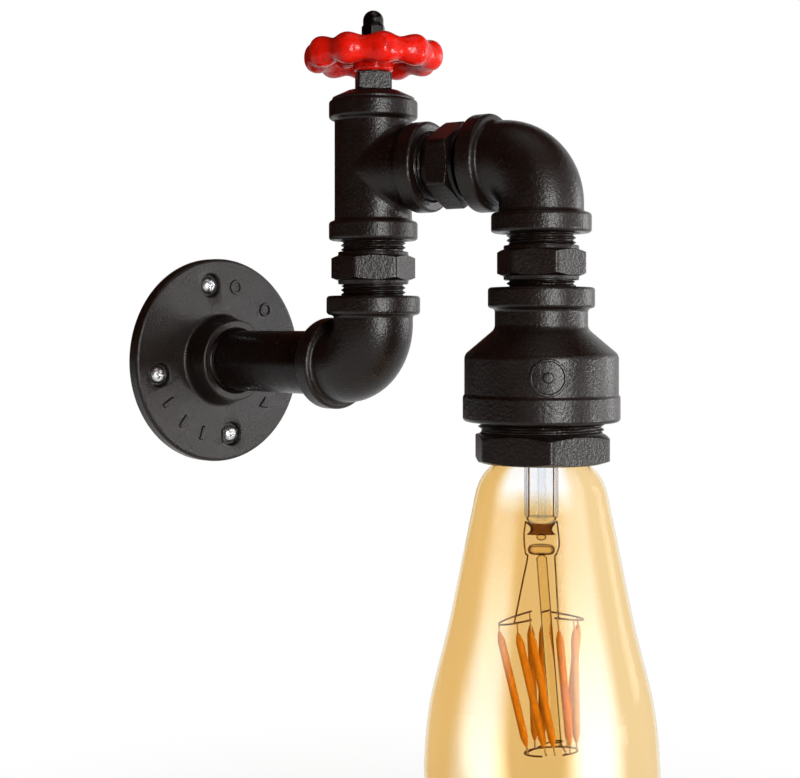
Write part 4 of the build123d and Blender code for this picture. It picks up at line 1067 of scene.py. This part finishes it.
class PIPELIGHT_OT_handwheel(Maker):
    """Handwheel: lobed rim, flared spokes and hub, in red enamel"""
    bl_idname = "pipelight.handwheel"
    bl_label = "Handwheel"

    def build(self):
        w, axes = sizes("wheel"), Axes(column_at(sum(ends("handwheel")) / 2))
        half, r, hole = w.hub_h / 2, w.hub_r, 2.6
        hub = lathe(axes, [(hole, -half), (r - 0.4, -half, 1.2), (r, 0.0, 3.0),
                           (r - 0.8, half, 1.4), (hole, half)], columns=96)
        spokes = [self.spoke(w, axes, w.turn + 2 * pi * k / w.spokes) for k in range(w.spokes)]
        piece("red_handwheel", [self.rim(w, axes), hub] + spokes, red_enamel(), "wheel_set",
              ["handwheel"], sharp=60)

    def rim(self, w, axes):
        """Ring with an oval section; its outer radius and its height swell at each lobe with
        (1 + cos n a) / 2, and its inner radius is even."""
        a, b = turn_angles(480)[:, None], turn_angles(56)
        swell = (1 + np.cos(w.lobes * (a - w.turn))) / 2
        outer = w.waist_out + (w.wheel_r - w.waist_out) * swell
        half = (w.waist_h + (w.lobe_h - w.waist_h) * swell) / 2
        middle, width = (outer + w.rim_in) / 2, (outer - w.rim_in) / 2
        c, v = [np.sign(share) * np.abs(share) ** 0.9 for share in (np.cos(b), np.sin(b))]
        out = middle + width * c
        return grid(axes.place(out * np.cos(a), out * np.sin(a), half * v))

    def spoke(self, w, axes, turn):
        """Oval bar that widens as the fourth power of the distance from its middle."""
        t, b = np.linspace(-1, 1, 25)[:, None], turn_angles(28)
        inner, rim_r = w.hub_r - 2.0, (w.rim_in + w.waist_out) / 2
        swell = 1 + 0.55 * np.abs(t) ** 4
        x = inner + (rim_r - inner) * (t + 1) / 2 + 0 * b
        x, y, z = ended(x, 1), ended(3.2 * swell * np.cos(b)), ended(2.6 * swell * np.sin(b))
        return grid(axes.place(*turned(x, y, turn), z), wrap=False)


class PIPELIGHT_OT_nut(Maker):
    """Domed nut and washer on top of the handwheel"""
    bl_idname = "pipelight.nut"
    bl_label = "Domed nut"

    def build(self):
        foot, top = ends("wheel_nut")
        tall, r, hex_len, rise = top - foot, 4.2, 5.2, 7.2
        dome = [(r * cos(v), rise + (tall - rise) * sin(v)) for v in np.linspace(0, pi / 2, 18)]
        section = Section(144).plain((2.5, 0.0)).polygon(0.0, hex_len, 9.0, 6, 40, 0.9, 90)
        section.plain((r + 0.15, hex_len), (r, 5.4), *dome, (0.0, tall), (0.0, 7.4), (2.5, 7.4))
        plate = metal("dark_plate", (0.05, 0.047, 0.045), (0.02, 0.018, 0.017), 0.16)
        piece("domed_nut", [section.solid(Axes(column_at(foot)))], plate, "wheel_set",
              ["wheel_nut"], sharp=40)
        foot, top = ends("wheel_washer")
        tall = top - foot
        ring = lathe(Axes(column_at(foot)), [
            (2.6, 0.0, 0.1), (5.75, 0.0, 0.25), (5.75, tall, 0.3), (2.6, tall, 0.1)], columns=96)
        piece("plain_washer", [ring], plate, "wheel_set", ["wheel_washer"], sharp=50)


def cap_edge():
    """Height of the lamp cap's lower edge."""
    return ends("bulb_cap")[0]


def lamp_profile(inset):
    """Half outline of the bulb from its neck to its foot, drawn in by `inset`: a curve through
    measured widths, then a quarter circle. Points are (radius, height)."""
    edge, r = cap_edge(), sizes("lamp").belly_r
    neck_r, belly = radius_of("bulb_cap") - 1.1, edge - sizes("lamp").belly_drop
    shoulder = ((31.2, 3.6), (46.4, 12.0), (54.2, 27.4), (69.8, 65.6), (84.6, 96.4))
    knots = [(neck_r, edge + 10.0), (neck_r, edge + 3.0), (neck_r, edge)]
    knots += [(width / 2, edge - depth) for width, depth in shoulder]
    curve = smooth_path(knots + [(r, belly), (r, belly - 18)], 240)
    t = np.linspace(0, pi / 2, 48)
    foot = np.stack([r * np.cos(t), belly - r * np.sin(t)], 1)
    outline = np.vstack([curve[curve[:, 1] > belly + 0.01], foot])
    slope = np.gradient(outline, axis=0)
    slope /= np.linalg.norm(slope, axis=1)[:, None]
    inner = outline + np.stack([slope[:, 1], -slope[:, 0]], 1) * inset
    inner[:, 0] = np.maximum(inner[:, 0], 0)
    inner[-1, 0] = 0.0
    return inner


class PIPELIGHT_OT_glass(Maker):
    """Bulb: a straight-pear shell of amber glass with a real wall"""
    bl_idname = "pipelight.glass"
    bl_label = "Bulb glass"

    def build(self):
        outline = np.vstack([lamp_profile(0.0), lamp_profile(sizes("lamp").wall)[::-1]])
        piece("amber_bulb", [revolve(Axes(drop_at(0.0)), outline, 192)], amber_glass(), "lamp",
              ["bulb_glass"], sharp=80)


def collar_foot():
    """Height of the underside of the bead under the stem's pinch."""
    return cap_edge() - 40.0


def cage_axes():
    """Frame of the leaning filament cage: Z down its rod, X to its side, Y to its front."""
    lamp = sizes("lamp")
    side, front = level_way(lamp.cage_azimuth), level_way(lamp.cage_azimuth - pi / 2)
    along = DOWN + side * tan(lamp.cage_lean) + front * tan(lamp.cage_tip)
    return Axes(drop_at(collar_foot()), along, side)


def cage_point(radius, turn, depth, aside=0.0):
    """Point of the cage; the turn is measured from its front towards its leaning side."""
    return cage_axes().place(radius * sin(turn) + aside, radius * cos(turn), depth)


def glass_piece(name, shells, glass, nodes=(), sharp=60):
    """Piece of the lamp's clear glass."""
    piece(name, shells, glass, "lamp", nodes, sharp)


class PIPELIGHT_OT_stem(Maker):
    """Glass stem with its flare, pinch, bead, tube and rod"""
    bl_idname = "pipelight.stem"
    bl_label = "Stem and rod"

    def build(self):
        top, foot = cap_edge() + 10.0, cap_edge() - 27.0
        r, wall, widening = 6.5, 0.8, radius_of("bulb_stem") - 6.5
        flare = [(r + widening * t ** 2.4, top - 7 * (1 - t)) for t in np.linspace(0, 1, 12)]
        outline = [(0.0, foot - 1.0), (r - 1.5, foot - 1.0), (r, foot + 1.5)] + flare
        outline += [(out - wall, z) for out, z in flare[::-1]]
        outline += [(r - wall, foot + 1.5), (0.0, foot + 0.3)]
        clear = lamp_glass("stem_glass", (0.97, 0.98, 1.0), (0.22, 0.24, 0.36), 0.42, 0.75)
        axes = Axes(drop_at(0.0))
        glass_piece("stem_tube", [revolve(axes, outline, 96)], clear, ["bulb_stem"])
        self.pinch(foot)
        exhaust = lathe(axes, [(1.15, foot + 0.2), (1.75, foot + 0.2), (1.75, top), (1.15, top)],
                        columns=40)
        glass_piece("exhaust_tube", [exhaust], clear, ["bulb_exhaust"], sharp=32)
        self.rod()

    def pinch(self, foot):
        """Pinched foot of the stem: an oval that narrows at its waist, then the bead."""
        side = level_way(sizes("lamp").cage_azimuth)
        a, t = turn_angles(64), np.linspace(0, 1, 22)[:, None]
        x = (6.5 - 1.9 * np.sin(pi * t) ** 0.8 - 0.9 * t) * np.cos(a)
        y = (2.7 + 0.6 * np.sin(pi * t)) * np.sin(a)
        points = Axes(drop_at(foot), UP, side).place(
            ended(x), ended(y), ended(-1.0 - 4.6 * t + 0 * a, 1))
        brown = lamp_glass("pinch_glass", (0.20, 0.09, 0.035), (0.02, 0.008, 0.003), 0.1, 0.5)
        glass_piece("stem_pinch", [grid(points, wrap=False)], brown)
        oval = tube(drop_at(foot - 6.6) + np.outer(np.linspace(-1.3, 1.3, 15), UP),
                    1.9 * np.sqrt(1 - np.linspace(-0.96, 0.96, 15) ** 2), 32)
        collar = lathe(Axes(drop_at(collar_foot()), UP, side), [
            (0, 0.0), (4.7, 0.0, 1.2), (5.3, 1.6, 1.4), (4.5, 3.4, 1.0), (0, 3.0)], columns=64)
        bead = lamp_glass("bead_glass", (0.92, 0.80, 0.56), (0.06, 0.022, 0.006), 0.2, 0.55)
        glass_piece("stem_beads", [oval, collar], bead)

    def rod(self):
        """Leaning glass rod, round-ended, with a swollen foot that holds the hanger."""
        t = np.linspace(0, 1, 60)
        radii = 2.05 * np.minimum(1, 0.3 + np.sqrt(t / 0.02).clip(0, 1))
        end = np.sqrt(np.clip(1 - ((t - 0.975) / 0.025).clip(0, 1) ** 2, 0.02, 1))
        start, stop = cage_point(0, 0, 0.2), cage_point(0, 0, 72.0)
        clear = lamp_glass("rod_glass", (0.93, 0.84, 0.62), (0.06, 0.025, 0.004))
        glass_piece("cage_rod", [tube(start + (stop - start) * t[:, None], radii * end, 32)], clear,
                    ["bulb_rod"])


class PIPELIGHT_OT_cage(Maker):
    """Filaments, their tips, bridges, hanger and leads"""
    bl_idname = "pipelight.cage"
    bl_label = "Filament cage"

    turns = (-85, -38, -19, -170, 18, 44, 115, 173)

    def build(self):
        lamp, start, run = sizes("lamp"), 27.5, 43.5
        top_r, foot_r, twist = lamp.cage_top_r, lamp.cage_foot_r, lamp.cage_twist
        foot = start + sqrt(run ** 2 - (top_r - foot_r) ** 2 - (top_r * twist) ** 2 * 0.8)
        t = np.linspace(0, 1, 48)
        taper = np.minimum(1, 0.22 + 0.78 * np.clip(np.minimum(t, 1 - t) / 0.085, 0, 1) ** 0.7)
        filaments, tips = [], []
        for turn in np.radians(self.turns):
            head, tail = self.spot(top_r, turn, start), self.spot(foot_r, turn + twist, foot)
            way = unit(tail - head)
            filaments.append(tube(head + (tail - head) * t[:, None], 1.45 * taper, 20))
            tips += [tube([self.on_bridge(turn), head + way * 0.6], 0.34),
                     tube([tail - way * 0.6, tail + way * 2.9], 0.36)]
        bridges = [tube([self.on_bridge(v) for v in np.radians(np.linspace(first, last, 40))], 0.36)
                   for first, last in ((-17, -173), (14, 175))]

        def on_ring(turn):
            return self.spot(foot_r * 0.97, turn, foot + 3.0)

        def on_eye(turn):
            return cage_point(2.5, turn, foot - 0.5)

        hanger = [tube([on_ring(v) for v in np.linspace(0, radians(315), 60) + twist], 0.36),
                  tube([on_eye(v) for v in np.linspace(0, 2 * pi, 30)], 0.3)]
        hanger += [tube([on_eye(v), on_ring(v)], 0.28) for v in np.radians([30, 150, 270])]
        pale = metal("tip_plate", (0.34, 0.24, 0.13), (0.22, 0.15, 0.08), 0.3)
        piece("filament_set", filaments, phosphor(), "lamp", ["bulb_filaments"],
              sharp=70)
        for name, shells, material, node in (
                ("filament_tips", tips, pale, "bulb_tips"),
                ("bridge_wires", bridges, dark_wire(), "bulb_bridges"),
                ("hanger_wires", hanger, dark_wire(), "bulb_hanger"),
                ("lead_wires", self.leads(), dark_wire(), "bulb_leads")):
            piece(name, shells, material, "lamp", [node])

    def spot(self, radius, turn, depth):
        """Point of the filaments' own circle, which stands a little beside the rod."""
        return cage_point(radius, turn, depth, sizes("lamp").cage_shift)

    def on_bridge(self, turn):
        """Point of the bridge wires, which rise from both sides of the cage towards its middle."""
        across = sin(turn)
        depth = 24.5 - 2.4 * (1 - abs(across)) + (0.6 if across < 0 else 0.9) * abs(across)
        return self.spot(sizes("lamp").cage_top_r * 0.985, turn, depth)

    def leads(self):
        """Leads that bulge out beside the pinch, pass the bead and run down to the bridges."""
        foot, side = cap_edge() - 33.5, unit(cage_axes().x * np.array([1, 1, 0]))
        shells = []
        for way, bow, turn in ((-1, 6.4, -43), (1, 6.8, 19)):
            route = [drop_at(height) + side * way * out for height, out in (
                (foot + 6.0, 5.9), (foot + 1.5, 6.5), (foot - 3.0, bow), (foot - 6.4, 5.9),
                (collar_foot() - 1.2, 5.2))]
            knee, end = route[-1], self.on_bridge(radians(turn))
            route += [knee + (end - knee) * t for t in (0.33, 0.66, 1.0)]
            shells.append(tube(smooth_path(route, 90), 0.33))
        return shells


class PIPELIGHT_OT_cap(Maker):
    """Lamp cap with its rolled thread"""
    bl_idname = "pipelight.cap"
    bl_label = "Lamp cap"

    def build(self):
        edge, top = ends("bulb_cap")
        r, wall, pitch, depth = radius_of("bulb_cap"), 0.35, 3.63, 0.7
        low, high, fade = edge + 4.0, top - 1.5, 1.5
        section = Section(144)
        z = np.linspace(low, high, 90)[:, None]
        wave = 0.5 + 0.5 * np.cos(2 * pi * (z / pitch - section.a / (2 * pi)))
        full = np.clip((z - low) / fade, 0, 1) * np.clip((high - z) / fade, 0, 1)
        skin = r - depth * (1 - wave) * full - depth * 0.4 * (1 - full)
        section.plain((r, edge), (r, edge + 3.0)).rows(z, skin)
        section.plain((11.0, top), (9.0, top), (9.0, top - wall), (10.6, top - wall))
        section.rows(z[::-1], skin[::-1] - wall).plain((r - wall, edge + 3.0), (r - wall, edge))
        nickel = metal("nickel_cap", (0.66, 0.60, 0.48), (0.5, 0.45, 0.36), 0.28)
        piece("screw_cap", [section.solid(Axes(drop_at(0.0)))], nickel, "lamp", ["bulb_cap"],
              sharp=50)


class PIPELIGHT_OT_inside(Maker):
    """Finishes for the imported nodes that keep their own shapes: holder, switch and wiring"""
    bl_idname = "pipelight.inside"
    bl_label = "Holder, switch and wiring"

    def build(self):
        for material, nodes in (
                (metal("plated_steel", (0.60, 0.60, 0.62), (0.44, 0.44, 0.46), 0.25),
                 ("holder_terminals", "holder_screws", "block_screws", "switch_shaft",
                  "earth_tag")),
                (metal("nickel_brass", (0.68, 0.62, 0.50), (0.52, 0.46, 0.36), 0.25),
                 ("holder_shell", "holder_contact", "switch_bush", "switch_pins", "switch_wiper",
                  "block_tubes", "bulb_contact")),
                (moulded("black_plastic", (0.022, 0.022, 0.024), 0.42, 1800),
                 ("switch_housing", "switch_base", "holder_gasket", "bulb_insulator")),
                (moulded("porcelain", (0.80, 0.78, 0.73), 0.14, 500), ("holder_body",)),
                (moulded("cream_plastic", (0.66, 0.62, 0.52), 0.35, 1500), ("terminal_block",)),
                (moulded("brown_wire", (0.10, 0.045, 0.02), 0.38, 900),
                 ("wire_live", "wire_switched")),
                (moulded("green_wire", (0.10, 0.26, 0.03), 0.38, 900), ("wire_earth",)),
                (moulded("blue_wire", (0.02, 0.06, 0.24), 0.38, 900), ("wire_neutral",)),
                (moulded("circuit_board", (0.03, 0.14, 0.06), 0.4, 700), ("bulb_driver",)),
                (dark_wire(), ("bulb_inner_leads",))):
            for node in nodes:
                coat_with(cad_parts[node].data, material)


class PIPELIGHT_OT_stage(Maker):
    """Floor, studio light, pale surroundings and the camera"""
    bl_idname = "pipelight.stage"
    bl_label = "Stage"

    centre = np.array([0.0, -0.14, 0.0])

    def build(self):
        stage = sizes("stage")
        self.floor((ends("bulb_glass")[0] - stage.floor_drop) * MM)
        self.flags()
        self.world(stage.fill)
        self.lights()
        self.camera(stage)
        bpy.context.scene.view_settings.view_transform = "Standard"

    def prop(self, name, points, faces, material):
        """Part of the studio, in metres."""
        mesh = bpy.data.meshes.new(name)
        mesh.from_pydata(points, [], faces)
        mesh.materials.append(material)
        thing = added(name, mesh)
        thing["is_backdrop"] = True
        return thing

    def floor(self, height):
        """Pale floor that keeps the shadow near the object and is plain white further out. Its
        underside is clear, so that the light can be seen from below."""
        s = Shader("pale_floor")
        x, y, _ = s.parts(s.place())
        spread = ((x * x + (y + 0.12) * (y + 0.12)) ** 0.5).smooth(0.10, 0.34)
        white = s.plain("Emission", 1.0, 1.0, 1.0, Strength=1.0)
        paint = s.plain("BsdfDiffuse", 0.88, 0.88, 0.88)
        top = s.blend(s.seen() * (0.86 + 0.14 * spread), paint, white)
        under = s.node("NewGeometry", out="Backfacing")
        clear = s.plain("BsdfTransparent", 1.0, 1.0, 1.0)
        half = 6.0
        corners = [(x * half, y * half, height) for x, y in ((-1, -1), (1, -1), (1, 1), (-1, 1))]
        self.prop("studio_floor", corners, [(0, 1, 2, 3)], s.finish(s.blend(under, top, clear)))

    def flags(self):
        """Dark cloth of a studio, on the camera's left, behind it and overhead: two parts of a
        sphere that only reflections and shadows meet, so that the iron's left sides stay black."""
        s, away = Shader("dark_cloth"), 1.9
        tone = s.mixed(s.noise(400), [0.10, 0.035, 0.02], [0.14, 0.05, 0.03])
        cloth = s.finish(s.principled(Base_Color=tone, Roughness=0.9, Specular_IOR_Level=0.0))
        for name, turns, rises in (("left", (-128, -312), (-8, 86)), ("top", (-128, 48), (36, 86))):
            turn = np.radians(np.linspace(*turns, 50))[:, None]
            rise = np.radians(np.linspace(*rises, 24))
            points = away * np.stack(np.broadcast_arrays(
                np.cos(turn) * np.cos(rise), np.sin(turn) * np.cos(rise), np.sin(rise)), -1)
            index = np.arange(turn.size * rise.size).reshape(turn.size, rise.size)
            quads = np.stack([index[:-1, :-1], index[:-1, 1:], index[1:, 1:], index[1:, :-1]], -1)
            flag = self.prop("studio_flag_" + name, (points.reshape(-1, 3) + self.centre).tolist(),
                             quads.reshape(-1, 4).tolist(), cloth)
            flag.visible_camera = flag.visible_transmission = False

    def world(self, fill):
        """White to the camera and in reflections, and a plain fill elsewhere."""
        world = bpy.context.scene.world = bpy.data.worlds.new("studio")
        s = Shader("studio", world)
        strength = s.node("MapRange", {"Value": s.seen(), "To Min": fill})
        s.finish(s.plain("Background", 1.0, 1.0, 1.0, Strength=strength), "World")

    def lights(self):
        """A tall key from the front, a small light for the flange's face, a strip from the right, a
        soft top light and a fill from the wall's side that no reflection shows. Each is given by
        its azimuth, elevation, distance, width, height and power."""
        for name, azimuth, elevation, away, width, height, power in (
                ("key_light", -112, 2, 1.3, 0.24, 0.50, 18.0),
                ("face_light", -54, -11, 1.0, 0.20, 0.22, 5.5),
                ("side_strip", -22, 5, 1.25, 0.30, 0.50, 4.5),
                ("top_light", -100, 76, 1.5, 0.9, 0.9, 2.0),
                ("back_fill", 112, 14, 1.5, 0.8, 0.8, 5.0)):
            lamp = bpy.data.lights.new(name, "AREA")
            lamp.shape, lamp.size, lamp.size_y, lamp.energy = "RECTANGLE", width, height, power
            thing = added(name, lamp)
            thing.visible_glossy = name != "back_fill"
            rise = radians(elevation)
            z = cos(rise) * level_way(radians(azimuth)) + sin(rise) * UP
            x = unit(np.cross(UP, z))
            matrix = np.eye(4)
            matrix[:3] = np.stack([x, np.cross(z, x), z, self.centre + z * away], 1)
            thing.matrix_world = Matrix(matrix.tolist())

    def camera(self, stage):
        """Level camera at the photograph's place, found by fitting the fittings' axes and sizes."""
        lens = bpy.data.cameras.new("camera")
        lens.lens, lens.sensor_width, lens.shift_y = stage.lens, 36.0, stage.shift
        camera = added("camera", lens)
        camera.location = (-0.42807, -0.56623, 0.01663)
        camera.rotation_euler = (pi / 2, 0.0, -stage.heading)
        bpy.context.scene.camera = camera


MAKERS = (PIPELIGHT_OT_stage, PIPELIGHT_OT_flange, PIPELIGHT_OT_screws, PIPELIGHT_OT_pipe,
          PIPELIGHT_OT_elbows, PIPELIGHT_OT_tee, PIPELIGHT_OT_nipples, PIPELIGHT_OT_reducer,
          PIPELIGHT_OT_bushing, PIPELIGHT_OT_plug, PIPELIGHT_OT_handwheel, PIPELIGHT_OT_nut,
          PIPELIGHT_OT_glass, PIPELIGHT_OT_stem, PIPELIGHT_OT_cage, PIPELIGHT_OT_cap,
          PIPELIGHT_OT_inside)


class PIPELIGHT_PT_panel(bpy.types.Panel):
    """Lists the makers"""
    bl_idname = "PIPELIGHT_PT_panel"
    bl_label = "Pipe light"
    bl_space_type = "VIEW_3D"
    bl_region_type = "UI"
    bl_category = "Pipe light"

    def draw(self, context):
        for maker in MAKERS:
            self.layout.operator(maker.bl_idname)


def group_name(group):
    """Name of the scene's pointer to a property group."""
    return "pipelight_" + group.__name__.rsplit("_", 1)[1]


def register():
    for group in GROUPS:
        bpy.utils.register_class(group)
        setattr(bpy.types.Scene, group_name(group), PointerProperty(type=group))
    for maker in MAKERS + (PIPELIGHT_PT_panel,):
        bpy.utils.register_class(maker)


def unregister():
    for maker in (PIPELIGHT_PT_panel,) + MAKERS[::-1]:
        bpy.utils.unregister_class(maker)
    for group in GROUPS[::-1]:
        delattr(bpy.types.Scene, group_name(group))
        bpy.utils.unregister_class(group)


def plain(box):
    """A box as plain lists of numbers."""
    return [[float(value) for value in corner] for corner in box]


def main():
    register()
    for maker in MAKERS:
        category, name = maker.bl_idname.split(".")
        getattr(getattr(bpy.ops, category), name)()
    {"cad": plain(cad_box), "visual": plain(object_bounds())}


if __name__ == "__main__":
    main()
